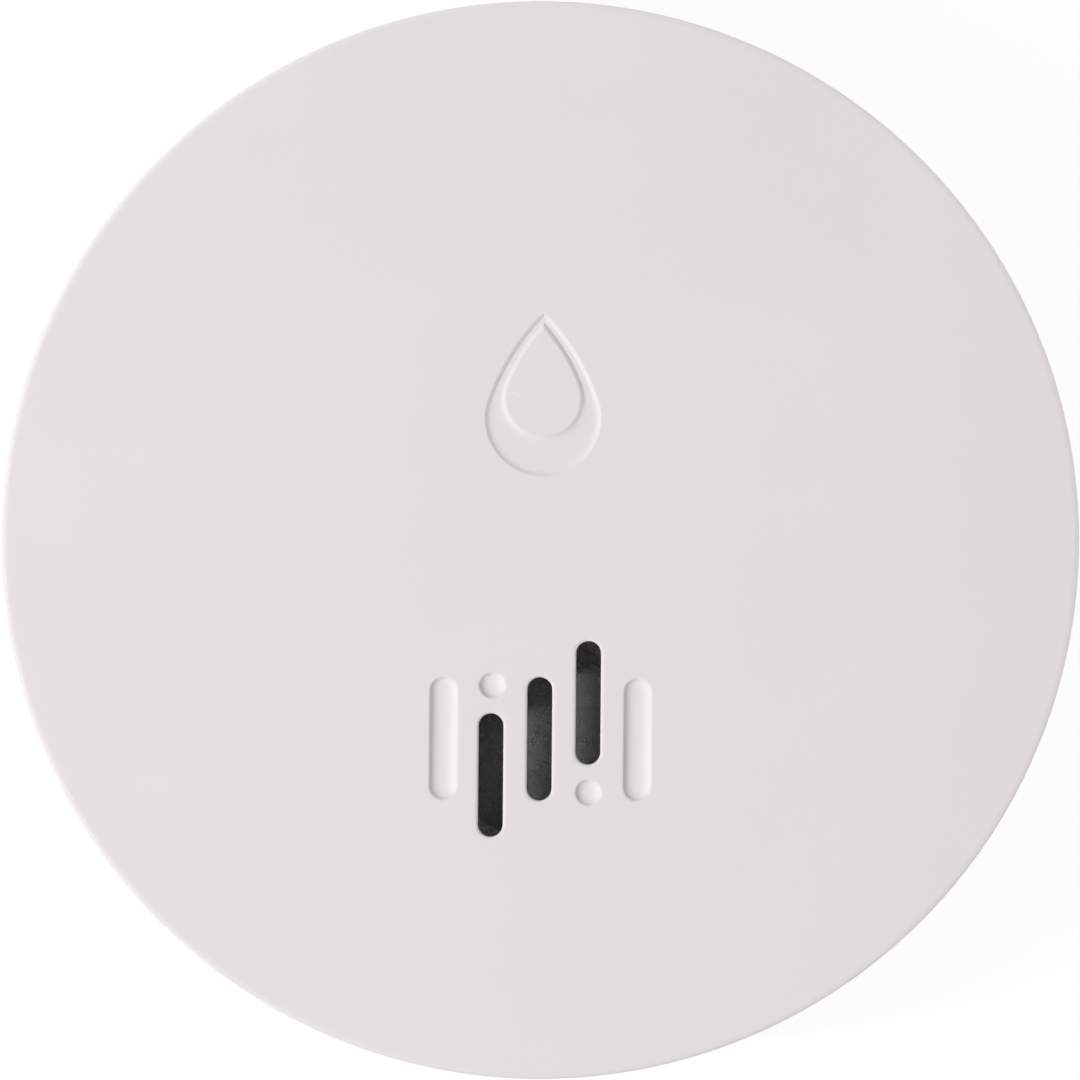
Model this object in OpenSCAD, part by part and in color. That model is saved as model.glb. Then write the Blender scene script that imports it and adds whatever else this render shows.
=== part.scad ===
// Water leak sensor: a flat round puck on four metal probes, with a sounder under a slotted grille.
// Millimetres. Z is up, the floor is Z = 0 under the middle of the puck, and the drop mark lies towards +Y.

/* [Body] */
// Outer diameter of the puck
body_d = 88; // [79:0.5:100]
// Thickness of the flat top
top_t = 2; // [1.6:0.1:2.6]
// Thickness of the side wall
side_t = 2; // [1.6:0.1:2.4]
// Radius of the rounded top edge
edge_r = 0.6; // [0.4:0.1:1.8]
// Gap between the base and the floor
foot_gap = 1.5; // [1:0.1:2.5]
// Thickness of the base plate
base_t = 2.5; // [2.4:0.1:3.2]
// Height of the outer wall of the base
base_h = 5.5; // [4.5:0.1:6.5]
// Radius of the rounded lower edge of the base
base_r = 2; // [1:0.1:2.4]
// How far the base wall stands back from the cover wall
base_inset = 0.3; // [0:0.1:0.6]

/* [Seam] */
// Shadow gap between the cover and the base
seam_gap = 0.4; // [0.2:0.1:0.8]
// Thickness of the lip that centres the cover
lip_t = 1.4; // [1:0.1:1.6]
// Height of that lip above the base wall
lip_h = 2.4; // [1.6:0.1:3]
// Clearance between the lip and the cover
lip_clear = 0.2; // [0.1:0.05:0.3]
// Width of the sealing ring
seal_w = 0.9; // [0.7:0.1:1]
// Depth of the groove that holds the sealing ring
seal_depth = 0.8; // [0.5:0.1:1.2]

/* [Grille] */
// Distance of the grille from the middle of the puck
grille_out = 16.2; // [14:0.1:18]
// Width of a slot
slot_w = 2; // [1.4:0.05:2.4]
// Length of a slot
slot_l = 10; // [8:0.1:12]
// Distance between neighbouring columns
slot_pitch = 3.96; // [3.4:0.02:4.6]
// How far each slot steps up from the one before it
slot_step = 2.98; // [2:0.02:3.4]
// Width of the chamfer around a slot
slot_edge = 0.24; // [0.1:0.02:0.4]
// Width of a blind groove
groove_w = 2.26; // [1.6:0.02:2.6]
// Length of a blind groove
groove_l = 10.2; // [8:0.1:12]
// Depth of a blind groove
groove_depth = 0.45; // [0.3:0.05:0.8]
// Diameter of a dimple
dimple_d = 2.16; // [1.4:0.02:2.4]
// Depth of a dimple
dimple_depth = 0.45; // [0.3:0.05:0.7]
// Distance of a dimple from the middle row of the grille
dimple_out = 4.4; // [3.6:0.1:5.2]

/* [Drop mark] */
// Radius of the round end of the outer drop
drop_r = 4.7; // [4.4:0.1:5.4]
// Distance of the middle of that round end from the middle of the puck
drop_out = 10; // [8:0.1:12]
// Distance of the outer tip from the middle of its round end
drop_tip = 8.5; // [8:0.05:9.4]
// Radius of the round end of the inner drop
inner_drop_r = 3.36; // [2.4:0.02:3.6]
// Distance of the inner tip from the middle of its round end
inner_drop_tip = 5.9; // [4.4:0.02:6]
// Rise of the inner drop above the outer drop
inner_drop_rise = 1.7; // [1.1:0.02:1.8]
// Depth of the drop mark
drop_depth = 0.25; // [0.2:0.05:0.6]

/* [Battery] */
// Diameter of a cell
cell_d = 10.5; // [10:0.1:10.9]
// Length of a cell with its positive pip
cell_l = 44.5; // [43.5:0.1:45]
// Diameter of the positive pip
pip_d = 3.8; // [3:0.1:4.4]
// Height of the positive pip
pip_h = 0.9; // [0.6:0.1:1.2]
// Gap between the two cells
cell_gap = 0.8; // [0.4:0.1:1.2]
// Clearance between a cell and the bay
cell_clear = 0.3; // [0.2:0.1:0.5]
// Thickness of the bay walls
bay_wall = 1.4; // [1:0.1:1.8]
// Thickness of the contact sheet
plate_t = 0.4; // [0.3:0.05:0.5]
// Width and height of a contact plate
plate_w = 8.4; // [6:0.2:9.4]
// Height of the pressed bump that meets the positive pip
bump_h = 0.6; // [0.4:0.1:1]
// Diameter of that bump
bump_d = 4.4; // [3:0.1:5]
// Length of a fitted contact spring
spring_l = 4.6; // [4.2:0.1:5.4]
// Radius of the wide end of a contact spring
spring_wide_r = 3.3; // [2.8:0.1:3.8]
// Radius of the narrow end of a contact spring
spring_narrow_r = 1.9; // [1.5:0.1:2.2]
// Diameter of the spring wire
wire_d = 0.55; // [0.4:0.05:0.6]
// Number of turns of a contact spring
spring_turns = 3; // [2.5:0.5:3.5]
// Width of a contact tail
tail_w = 3; // [2:0.2:3.6]
// Length of a contact tail on the board
tail_land = 1.9; // [1.4:0.1:2.2]

/* [Battery door] */
// Thickness of the door plate
door_t = 1.9; // [1.6:0.1:2]
// Width of the ledge that the door closes on
ledge_w = 1.6; // [1.4:0.1:2]
// Gap around the door plate
door_gap = 0.3; // [0.2:0.05:0.4]
// Radius of the door corners
door_corner = 3; // [2:0.2:4]
// Width of the door seal
door_seal_w = 1; // [0.8:0.05:1.2]
// Distance of the hinge axis from the opening of the door
hinge_reach = 2.2; // [2:0.1:2.8]
// Radius of a hinge barrel
barrel_r = 1.3; // [1.2:0.05:1.4]
// Length of a hinge barrel
barrel_l = 7; // [5:0.5:9]
// Distance of a hinge barrel from the middle of the door
barrel_out = 17; // [14:0.5:19]
// Radius of a hinge pin
hinge_pin_r = 0.8; // [0.6:0.05:0.9]
// Length of a hinge pin
hinge_pin_l = 1.5; // [1:0.1:2]
// Radial clearance of a hinge pin in its bore
hinge_clear = 0.05; // [0.03:0.01:0.1]
// Width of the latch tongue
latch_w = 12; // [8:0.5:16]
// Height of the latch tongue above the door plate
latch_h = 1.8; // [1.2:0.1:2]
// Radius of the finger notch at the free edge of the door
notch_r = 3.4; // [2.6:0.1:3.6]

/* [Board] */
// Thickness of the main board
board_t = 1.2; // [0.8:0.1:1.6]
// Gap between the main board and the walls around it
board_gap = 0.7; // [0.5:0.1:1]
// Clearance between neighbouring parts on the board
part_gap = 1; // [0.6:0.1:1.4]
// Length of the radio board
radio_l = 13; // [11:0.5:14]
// Width of the radio board
radio_w = 11; // [9:0.5:11.5]
// Thickness of the radio board
radio_t = 0.8; // [0.6:0.1:1]
// Length of the bare antenna end of the radio board
antenna_l = 3.3; // [2:0.1:4]
// Rim of the radio board around the shield can
can_rim = 0.7; // [0.4:0.1:1]
// Height of the shield can
can_h = 2; // [1.4:0.1:2.6]
// Width of the controller chip
chip_w = 6; // [5:0.5:7]
// Height of the controller chip
chip_h = 0.9; // [0.7:0.1:1.2]
// Diameter of the boost coil
coil_d = 7; // [5:0.5:7.5]
// Height of the boost coil
coil_h = 5.5; // [4:0.5:7]
// Diameter of the reservoir capacitor
capacitor_d = 6.3; // [5:0.1:7]
// Height of the reservoir capacitor
capacitor_h = 5.8; // [4.5:0.1:7]

/* [Sounder] */
// Diameter of the sounder case
sounder_d = 17; // [15:0.5:18]
// Height of the sounder case
sounder_h = 7; // [6:0.5:8]
// Wall thickness of the sounder case
sounder_wall = 1; // [0.8:0.1:1.2]
// Diameter of its sound hole
sound_hole_d = 1.6; // [1:0.1:1.7]
// Space between the sounder and the cover
sound_gap = 3; // [2:0.1:4]
// Thickness of the vibrating disc
disc_t = 0.4; // [0.3:0.05:0.5]
// Distance between the sounder pins
sounder_pin_pitch = 10; // [7.6:0.2:11]
// Diameter of a sounder pin
sounder_pin_d = 0.8; // [0.6:0.05:1]
// Height of the foam ring that joins the sounder to the cover
foam_h = 2.4; // [1.8:0.1:3]
// How far the foam ring stands above the sounder
foam_rise = 0.6; // [0.3:0.1:1]
// Thickness of the collar that presses on the foam
collar_t = 1.2; // [1:0.1:1.5]
// Clearance of the collar around the sounder and the slots
collar_gap = 0.4; // [0.3:0.1:1]

/* [Probes] */
// Diameter of a probe head
probe_head_d = 6; // [5:0.1:6.4]
// Radius of the rounded edge of a probe head
probe_edge = 0.6; // [0.3:0.1:0.8]
// Diameter of the probe shank
probe_d = 2.9; // [2.4:0.1:3]
// Diameter of a brass standoff
standoff_d = 5; // [4.6:0.1:5.2]
// Diameter of the soldered end of a standoff
stub_d = 3.6; // [3.4:0.05:3.8]
// Gap between a rear probe and the opening of the battery door
probe_gap = 1.8; // [0.6:0.1:2.4]
// Angle of the front probes below the X axis
front_probe_angle = 67; // [63:1:70]
// Thickness of a probe sealing ring
ring_t = 0.8; // [0.6:0.1:1]
// Width of a probe sealing ring
ring_w = 0.8; // [0.6:0.05:0.9]

/* [Button] */
// Diameter of the button
button_d = 7; // [5:0.2:8]
// How deep the button face lies in the base
button_sink = 0.3; // [0:0.1:0.6]
// Gap around the button
button_gap = 0.2; // [0.1:0.05:0.3]
// Thickness of the flange that keeps the button in
flange_t = 0.5; // [0.4:0.1:0.8]
// Distance of the button flange from the wall of the base
button_wall = 3.2; // [1:0.1:4]
// How far the flange reaches past the hole
flange_over = 1; // [0.6:0.1:1.4]
// Travel of the button
button_travel = 0.5; // [0.2:0.05:0.6]
// Width of the switch body
switch_w = 6; // [5:0.2:6.4]
// Height of the switch body
switch_h = 3.6; // [3:0.1:4.5]
// Diameter of the switch plunger
plunger_d = 3.4; // [2.6:0.1:3.8]
// How far the plunger stands out of the switch
plunger_out = 0.8; // [0.7:0.1:1.2]

/* [Screws] */
// Diameter of a screw boss
boss_d = 6.6; // [6.2:0.1:7]
// Diameter of a housing screw
screw_d = 2.5; // [2.2:0.1:2.8]
// Length of the shank of a housing screw
screw_l = 10; // [8:0.5:12]
// Diameter of a screw head
screw_head_d = 4.6; // [4:0.1:5]
// Height of a screw head
screw_head_h = 1.6; // [1.2:0.1:2]
// Depth of a screw head in the base
screw_sink = 2.1; // [1.6:0.1:2.6]

/* [Hidden] */
$fn = 96;
// Overlap of united shapes, and reach of a cut beyond a face
lap = 0.3;
// Clearance of a shank in its hole, of a seal in its groove and of a part in its seat
fit = 0.05;
// Least clearance between a fixed piece and a wall beside it
near = 0.6;
// Share of the round end's radius that the straight sides of a drop aim at
drop_side = 0.995;

body_r = body_d / 2;
floor_z = foot_gap + base_t;
seam_z = foot_gap + base_h;
cover_z = seam_z + seam_gap;
cover_in_r = body_r - side_t;
base_out_r = body_r - base_inset;
lip_out_r = cover_in_r - lip_clear;
lip_in_r = lip_out_r - lip_t;
lip_top_z = seam_z + lip_h;

// Board stack: the button flange, the plunger and the switch fill the space under the board
switch_z = floor_z + flange_t + plunger_out;
board_z = switch_z + switch_h;
board_top_z = board_z + board_t;
board_r = lip_in_r - board_gap;
sounder_top_z = board_top_z + sounder_h;

// Battery bay: as far back as the wall lets it go
bay_in_l = 2 * plate_t + bump_h + cell_l + spring_l;
bay_in_w = 2 * cell_d + cell_gap + 2 * cell_clear;
bay_out_l = bay_in_l + 2 * bay_wall;
bay_out_w = bay_in_w + 2 * bay_wall;
bay_y = sqrt(pow(lip_in_r, 2) - pow(bay_out_l / 2, 2)) - bay_out_w / 2 - near;
cell_z = foot_gap + door_t + near + cell_d / 2;
cell_y = [bay_y - (cell_d + cell_gap) / 2, bay_y + (cell_d + cell_gap) / 2];
bay_top_z = cell_z + cell_d / 2 + cell_clear;
bay_end = bay_in_l / 2;

ceiling_z = max(sounder_top_z + sound_gap, bay_top_z + bay_wall + near);
body_h = ceiling_z + top_t;

// Battery door
door_l = bay_in_l + 2 * ledge_w;
door_w = bay_in_w + 2 * ledge_w;
door_front_y = bay_y - door_w / 2 - door_gap;
door_back_y = bay_y + door_w / 2;
hinge_y = door_front_y - hinge_reach;
hinge_z = foot_gap + barrel_r;
// The edge beside the hinge stands back so that it swings clear of the opening
swing_clear = 0.1;
swing_gap = norm([hinge_reach, barrel_r]) - hinge_reach + swing_clear;
door_edge_y = door_front_y + swing_gap;
frame_h = 1.6;
frame_w = 1.4;
bay_corner = 1.2;
latch_t = 1;
latch_nose = 0.25;
grip_w = 1.2;
grip_l = 14;
grip_depth = 0.4;
grip_step = 2.6;
grip_count = 3;

// Main board outline
board_edge_y = bay_y - bay_out_w / 2 - board_gap;
arm_x = bay_out_l / 2 + board_gap;
arm_top_y = cell_y[1] + tail_w / 2 + near;
plate_span = cell_d + cell_gap + plate_w;

// Places
sounder_y = -grille_out;
slot_reach = norm([slot_pitch, slot_step + (slot_l - slot_w) / 2]) + slot_w / 2 + slot_edge;
collar_in_r = max(sounder_d / 2, slot_reach) + collar_gap;
foam_r = collar_in_r + collar_t;
foam_top_z = sounder_top_z + foam_rise;
boss_ring = lip_in_r - boss_d / 2 - near;
boss_places = [for (a = [90, 210, 330]) boss_ring * [cos(a), sin(a)]];
boss_z = lip_top_z;
probe_ring = board_r - standoff_d / 2 - fit;
rear_probe_x = door_l / 2 + door_gap + probe_gap + probe_head_d / 2;
rear_probe_angle = acos(rear_probe_x / probe_ring);
probe_angles = [
    rear_probe_angle, 180 - rear_probe_angle, 180 + front_probe_angle, 360 - front_probe_angle
];
probe_places = [for (a = probe_angles) probe_ring * [cos(a), sin(a)]];
flange_r = button_d / 2 + button_gap + flange_over;
button_place = [0, -(lip_in_r - flange_r - button_wall)];
screw_seat_z = foot_gap + screw_sink + screw_head_h;

// Parts on the board, beside the sounder foam or around it
function around_sounder(angle, r) = [0, sounder_y] + (foam_r + part_gap + r) * [cos(angle), sin(angle)];
radio_place = [foam_r + part_gap + radio_l / 2, board_edge_y - part_gap - radio_w / 2];
can_l = radio_l - antenna_l - can_rim;
can_w = radio_w - 2 * can_rim;
can_place = [radio_place.x - radio_l / 2 + can_rim + can_l / 2, radio_place.y];
can_sheet = 0.2;
chip_place = [-foam_r - part_gap - chip_w / 2, board_edge_y - part_gap - chip_w / 2];
crystal_size = [3.2, 2.5, 0.8];
crystal_place = [
    chip_place.x - chip_w / 2 - part_gap - crystal_size.x / 2,
    board_edge_y - part_gap - crystal_size.y / 2
];
chip_part_size = [1.6, 0.8, 0.6];
chip_part_rows = 4;
chip_part_pitch = [chip_part_size.x + part_gap, chip_part_size.y + part_gap];
chip_part_y = crystal_place.y - crystal_size.y / 2 - part_gap - chip_part_size.y / 2;
coil_place = around_sounder(215, coil_d / 2);
coil_rim_h = 1;
coil_core_d = 3.5;
winding_inset = 0.4;
capacitor_place = around_sounder(325, capacitor_d / 2);
capacitor_foot_h = 1;
capacitor_inset = 0.15;
lamp_size = [3.5, 2.8, 1.5];
lamp_place = around_sounder(295, norm([lamp_size.x, lamp_size.y]) / 2);

// Inside of the sounder
disc_seat_h = 1.2;
disc_ledge = 1;
plug_h = 1.5;
sounder_pin_above = 2;
sounder_pin_below = 0.9;
sounder_in_d = sounder_d - 2 * sounder_wall;

// Colours
shell_white = "#e0dcdd";
seal_grey = "#9fa3a6";
steel = "#c6c8ca";
brass = "#c9a24a";
board_green = "#1f5b3c";
plain_black = "#1c1c1e";
sounder_black = "#2a2b2d";
cell_blue = "#2f4f7a";
ivory = "#e8e4d2";
copper = "#a8552f";
can_grey = "#b9bcc0";

// Flat shapes

module slot_2d(l, w) {
    square([w, l - w], center = true);
    for (s = [-1, 1]) translate([0, s * (l - w) / 2]) circle(d = w);
}

module rounded_2d(l, w, r) {
    square([l - 2 * r, w], center = true);
    square([l, w - 2 * r], center = true);
    for (sx = [-1, 1], sy = [-1, 1]) translate([sx * (l / 2 - r), sy * (w / 2 - r)]) circle(r = r);
}

// Round end at the origin, straight sides that run just inside its edge up to the tip
module drop_2d(r, tip) {
    side_r = r * drop_side;
    lean = asin(side_r / tip);
    foot = side_r * [cos(lean), sin(lean)];
    circle(r = r);
    polygon([[0, tip], [-foot.x, foot.y], [foot.x, foot.y]]);
}

module ring(inner_r, outer_r, h) {
    difference() {
        cylinder(r = outer_r, h = h);
        translate([0, 0, -lap]) cylinder(r = inner_r, h = h + 2 * lap);
    }
}

// Cutters of the grille, made for a top face at Z = 0

// Rounded groove along Y whose section is a circle of the given width and depth at the face
module blind_cut(l, w, depth) {
    r = (w * w / 4 + depth * depth) / (2 * depth);
    straight = max(l - w, 0);
    translate([0, 0, r - depth]) rotate([90, 0, 0]) rotate_extrude() intersection() {
        slot_2d(straight + 2 * r, 2 * r);
        translate([0, -straight / 2 - r]) square([r, straight + 2 * r]);
    }
}

module dimple_cut(d, depth) {
    r = (d * d / 4 + depth * depth) / (2 * depth);
    translate([0, 0, r - depth]) rotate([90, 0, 0]) sphere(r = r);
}

module slot_cut() {
    straight = slot_l - slot_w;
    flare = [
        [0, -slot_edge], [slot_w / 2, -slot_edge], [slot_w / 2 + slot_edge + lap, lap], [0, lap]
    ];
    translate([0, 0, -top_t - lap]) linear_extrude(top_t + 2 * lap) slot_2d(slot_l, slot_w);
    translate([0, straight / 2, 0]) rotate_extrude(angle = 180) polygon(flare);
    translate([0, -straight / 2, 0]) rotate([0, 0, 180]) rotate_extrude(angle = 180) polygon(flare);
    rotate([90, 0, 0]) linear_extrude(straight, center = true) union() {
        polygon(flare);
        mirror([1, 0]) polygon(flare);
    }
}

module grille_cuts() {
    for (i = [-1, 0, 1]) translate([i * slot_pitch, i * slot_step, 0]) slot_cut();
    for (s = [-1, 1]) {
        translate([s * 2 * slot_pitch, 0, 0]) blind_cut(groove_l, groove_w, groove_depth);
        translate([s * slot_pitch, -s * dimple_out, 0]) dimple_cut(dimple_d, dimple_depth);
    }
}

module drop_cut() {
    translate([0, drop_out, -drop_depth]) linear_extrude(drop_depth + lap) difference() {
        drop_2d(drop_r, drop_tip);
        translate([0, inner_drop_rise]) drop_2d(inner_drop_r, inner_drop_tip);
    }
}

// Housing

module cover_profile() {
    difference() {
        union() {
            translate([0, cover_z]) square([body_r, body_h - edge_r - cover_z]);
            translate([0, cover_z]) square([body_r - edge_r, body_h - cover_z]);
            translate([body_r - edge_r, body_h - edge_r]) circle(r = edge_r);
        }
        translate([0, cover_z - lap]) square([cover_in_r, ceiling_z - cover_z + lap]);
    }
}

module cover_boss() {
    rib_t = 1.2;
    rib_z = lip_top_z + near;
    cylinder(d = boss_d, h = ceiling_z - boss_z + lap);
    translate([0, -rib_t / 2, rib_z - boss_z])
        cube([cover_in_r - boss_ring + lap, rib_t, ceiling_z - rib_z + lap]);
}

module top_cover() {
    color(shell_white) difference() {
        union() {
            rotate_extrude() cover_profile();
            for (p = boss_places) translate([p.x, p.y, boss_z]) rotate([0, 0, atan2(p.y, p.x)]) cover_boss();
            translate([0, sounder_y, foam_top_z]) ring(collar_in_r, foam_r, ceiling_z - foam_top_z + lap);
        }
        for (p = boss_places) translate([p.x, p.y, boss_z - lap])
            cylinder(d = screw_d + 2 * fit, h = screw_seat_z + screw_l - boss_z + lap + near);
        translate([0, sounder_y, body_h]) grille_cuts();
        translate([0, 0, body_h]) drop_cut();
    }
}

module base_profile() {
    difference() {
        union() {
            translate([0, foot_gap]) square([base_out_r - base_r, base_h]);
            translate([0, foot_gap + base_r]) square([base_out_r, base_h - base_r]);
            translate([base_out_r - base_r, foot_gap + base_r]) circle(r = base_r);
            translate([lip_in_r, floor_z]) square([lip_t, lip_top_z - floor_z]);
        }
        translate([0, floor_z]) square([lip_in_r, lip_top_z - floor_z + lap]);
        translate([lip_out_r, seam_z - seal_depth]) square([seal_w + 2 * fit, seal_depth + lap]);
    }
}

module bay_block() {
    frame_front = hinge_y - barrel_r - door_gap - frame_w;
    frame_back = door_back_y + door_gap + frame_w;
    frame_l = door_l + 2 * (door_gap + frame_w);
    translate([0, bay_y, floor_z - lap]) linear_extrude(bay_top_z + bay_wall - floor_z + lap)
        rounded_2d(bay_out_l, bay_out_w, bay_corner);
    intersection() {
        translate([-frame_l / 2, frame_front, floor_z - lap])
            cube([frame_l, frame_back - frame_front, frame_h + lap]);
        cylinder(r = lip_in_r + lip_t / 2, h = lip_top_z);
    }
}

module door_opening() {
    translate([0, bay_y, foot_gap - lap]) linear_extrude(base_t + lap)
        rounded_2d(door_l + 2 * door_gap, door_w + 2 * door_gap, door_corner + door_gap);
    for (s = [-1, 1]) translate([s * barrel_out, 0, 0]) {
        pocket_l = barrel_l + 2 * door_gap;
        translate([-pocket_l / 2, hinge_y - barrel_r - door_gap, foot_gap - lap])
            cube([pocket_l, barrel_r + door_gap + hinge_reach + lap, 2 * barrel_r + door_gap + lap]);
        translate([0, hinge_y, hinge_z]) rotate([0, 90, 0])
            cylinder(r = hinge_pin_r + hinge_clear, h = barrel_l + 2 * hinge_pin_l + 2 * fit, center = true);
    }
    translate([0, door_back_y, foot_gap - lap]) cylinder(r = notch_r, h = base_t / 2 + lap);
}

module base_holes() {
    for (p = boss_places) translate([p.x, p.y, 0]) {
        cylinder(d = screw_head_d + 2 * door_gap, h = screw_seat_z);
        cylinder(d = screw_d + 2 * fit, h = boss_z + lap);
    }
    for (p = probe_places) translate([p.x, p.y, 0]) {
        cylinder(r = probe_d / 2 + ring_w + 2 * fit, h = foot_gap + ring_t);
        cylinder(d = probe_d + 2 * fit, h = floor_z + lap);
        translate([0, 0, floor_z]) cylinder(d = standoff_d + 2 * fit, h = frame_h + lap);
    }
    translate([button_place.x, button_place.y, 0]) cylinder(d = button_d + 2 * button_gap, h = floor_z + lap);
    for (y = cell_y) translate([-bay_end - bay_wall - lap, y - tail_w / 2 - fit, board_top_z])
        cube([bay_wall + 2 * lap, tail_w + 2 * fit, plate_t + fit]);
}

module base() {
    color(shell_white) difference() {
        union() {
            rotate_extrude() base_profile();
            bay_block();
            for (p = boss_places) translate([p.x, p.y, floor_z - lap])
                cylinder(d = boss_d, h = boss_z - floor_z + lap);
        }
        translate([0, bay_y, foot_gap]) linear_extrude(bay_top_z - foot_gap)
            square([bay_in_l, bay_in_w], center = true);
        door_opening();
        base_holes();
    }
}

module housing_seal() {
    color(seal_grey) translate([0, 0, seam_z - seal_depth])
        ring(lip_out_r + fit, lip_out_r + fit + seal_w, seal_depth + seam_gap);
}

module housing_screws() {
    cross_w = 0.8;
    cross_l = 2.8;
    cross_depth = 1;
    color(steel) for (p = boss_places) translate([p.x, p.y, screw_seat_z]) difference() {
        union() {
            translate([0, 0, -screw_head_h]) cylinder(d = screw_head_d, h = screw_head_h);
            translate([0, 0, -lap]) cylinder(d = screw_d, h = screw_l + lap);
        }
        for (a = [0, 90]) rotate([0, 0, a]) translate([-cross_l / 2, -cross_w / 2, -screw_head_h - lap])
            cube([cross_l, cross_w, cross_depth + lap]);
    }
}

// Battery door, hinged along its inner long edge

module door_hinge() {
    for (s = [-1, 1]) translate([s * barrel_out, hinge_y, hinge_z]) {
        rotate([0, 90, 0]) cylinder(r = barrel_r, h = barrel_l, center = true);
        rotate([0, 90, 0]) cylinder(r = hinge_pin_r, h = barrel_l + 2 * hinge_pin_l, center = true);
        translate([-barrel_l / 2, 0, -barrel_r]) cube([barrel_l, hinge_reach + swing_gap + lap, door_t]);
    }
}

module door_latch() {
    latch_y = bay_y + bay_in_w / 2 - 2 * cell_clear;
    translate([-latch_w / 2, latch_y - latch_t, foot_gap + door_t - lap])
        cube([latch_w, latch_t, latch_h + lap]);
    translate([0, latch_y, foot_gap + door_t + latch_nose]) rotate([0, 90, 0])
        cylinder(r = latch_nose, h = latch_w, center = true);
}

module battery_door() {
    color(shell_white) difference() {
        union() {
            translate([0, (door_edge_y + door_back_y) / 2, foot_gap]) linear_extrude(door_t)
                rounded_2d(door_l, door_back_y - door_edge_y, door_corner);
            door_hinge();
            door_latch();
        }
        for (i = [0 : grip_count - 1])
            translate([-grip_l / 2, door_back_y - notch_r - i * grip_step, foot_gap - grip_w + grip_depth])
                cube([grip_l, grip_w, grip_w]);
    }
}

module door_seal() {
    inset = (ledge_w - door_seal_w) / 2;
    seal_h = base_t - door_t - fit;
    color(seal_grey) translate([0, bay_y, foot_gap + door_t]) linear_extrude(seal_h) difference() {
        rounded_2d(door_l - 2 * inset, door_w - 2 * inset, door_corner - inset);
        rounded_2d(bay_in_l + 2 * inset, bay_in_w + 2 * inset, bay_corner);
    }
}

// Cells and contacts; each cell is drawn along +X from its negative end

module cell() {
    rim = 0.5;
    dish_r = cell_d / 2 - 1.2;
    dish_depth = 0.2;
    shoulder = cell_l - pip_h;
    rotate([0, 90, 0]) rotate_extrude() polygon([
        [0, dish_depth], [dish_r, dish_depth], [dish_r, 0], [cell_d / 2 - rim, 0], [cell_d / 2, rim],
        [cell_d / 2, shoulder - rim], [cell_d / 2 - rim, shoulder],
        [pip_d / 2, shoulder], [pip_d / 2, cell_l], [0, cell_l]
    ]);
}

module cell_front() {
    color(cell_blue) translate([-bay_end + plate_t + bump_h + cell_l, cell_y[0], cell_z])
        rotate([0, 0, 180]) cell();
}

module cell_rear() {
    color(cell_blue) translate([-bay_end + plate_t + spring_l, cell_y[1], cell_z]) cell();
}

// Sheet that stands on the bay end at the negative X side, with a tail that lies on the board
module tail_plate() {
    tail_out = arm_x + tail_land - bay_end;
    translate([0, 0, cell_z]) rotate([90, 0, 90]) linear_extrude(plate_t)
        square([plate_w, plate_w], center = true);
    translate([-tail_out, -tail_w / 2, board_top_z]) cube([tail_out + plate_t, tail_w, plate_t]);
}

module positive_contact() {
    color(steel) translate([-bay_end, cell_y[0], 0]) {
        tail_plate();
        translate([0, 0, cell_z]) rotate([0, 90, 0]) cylinder(d = bump_d, h = plate_t + bump_h);
    }
}

module negative_contact() {
    color(steel) translate([-bay_end, cell_y[1], 0]) tail_plate();
}

module bridge_contact() {
    color(steel) {
        translate([bay_end - plate_t, bay_y, cell_z]) rotate([90, 0, 90]) linear_extrude(plate_t)
            square([plate_span, plate_w], center = true);
        translate([bay_end - plate_t - bump_h, cell_y[1], cell_z]) rotate([0, 90, 0])
            cylinder(d = bump_d, h = bump_h + plate_t);
    }
}

// Coiled wire along +X, wide end at the origin
module coil_spring() {
    sides = 6;
    turn_steps = 12;
    steps = round(spring_turns * turn_steps);
    seat = 0.1;
    run = spring_l - wire_d - 2 * seat;
    function wide(i) = spring_wide_r + (spring_narrow_r - spring_wide_r) * i / steps;
    function spot(i) = [
        wire_d / 2 + seat + run * i / steps,
        wide(i) * cos(360 * i / turn_steps),
        wide(i) * sin(360 * i / turn_steps)
    ];
    function outward(i) = [0, cos(360 * i / turn_steps), sin(360 * i / turn_steps)];
    function corner(i, k) =
        spot(i) + wire_d / 2 * (cos(360 * k / sides) * outward(i) + [sin(360 * k / sides), 0, 0]);
    points = [for (i = [0 : steps], k = [0 : sides - 1]) corner(i, k)];
    around = [
        for (i = [0 : steps - 1], k = [0 : sides - 1])
            let (a = i * sides, b = a + sides, next = (k + 1) % sides)
                [a + k, a + next, b + next, b + k]
    ];
    first = [for (k = [0 : sides - 1]) sides - 1 - k];
    last = [for (k = [0 : sides - 1]) steps * sides + k];
    polyhedron(points, concat(around, [first, last]), convexity = 6);
}

module negative_spring() {
    color(steel) translate([-bay_end + plate_t, cell_y[1], cell_z]) coil_spring();
}

module bridge_spring() {
    color(steel) translate([bay_end - plate_t, cell_y[0], cell_z]) rotate([0, 0, 180]) coil_spring();
}

// Probes: the heads are the feet, and the standoffs carry the board

module probe_profile() {
    r = probe_head_d / 2;
    square([r - probe_edge, foot_gap]);
    translate([0, probe_edge]) square([r, foot_gap - probe_edge]);
    translate([r - probe_edge, probe_edge]) circle(r = probe_edge);
    square([probe_d / 2, board_z]);
}

module probes() {
    color(brass) for (p = probe_places) translate([p.x, p.y, 0]) rotate_extrude() probe_profile();
}

module probe_rings() {
    color(seal_grey) for (p = probe_places) translate([p.x, p.y, foot_gap])
        ring(probe_d / 2 + fit, probe_d / 2 + fit + ring_w, ring_t);
}

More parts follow.
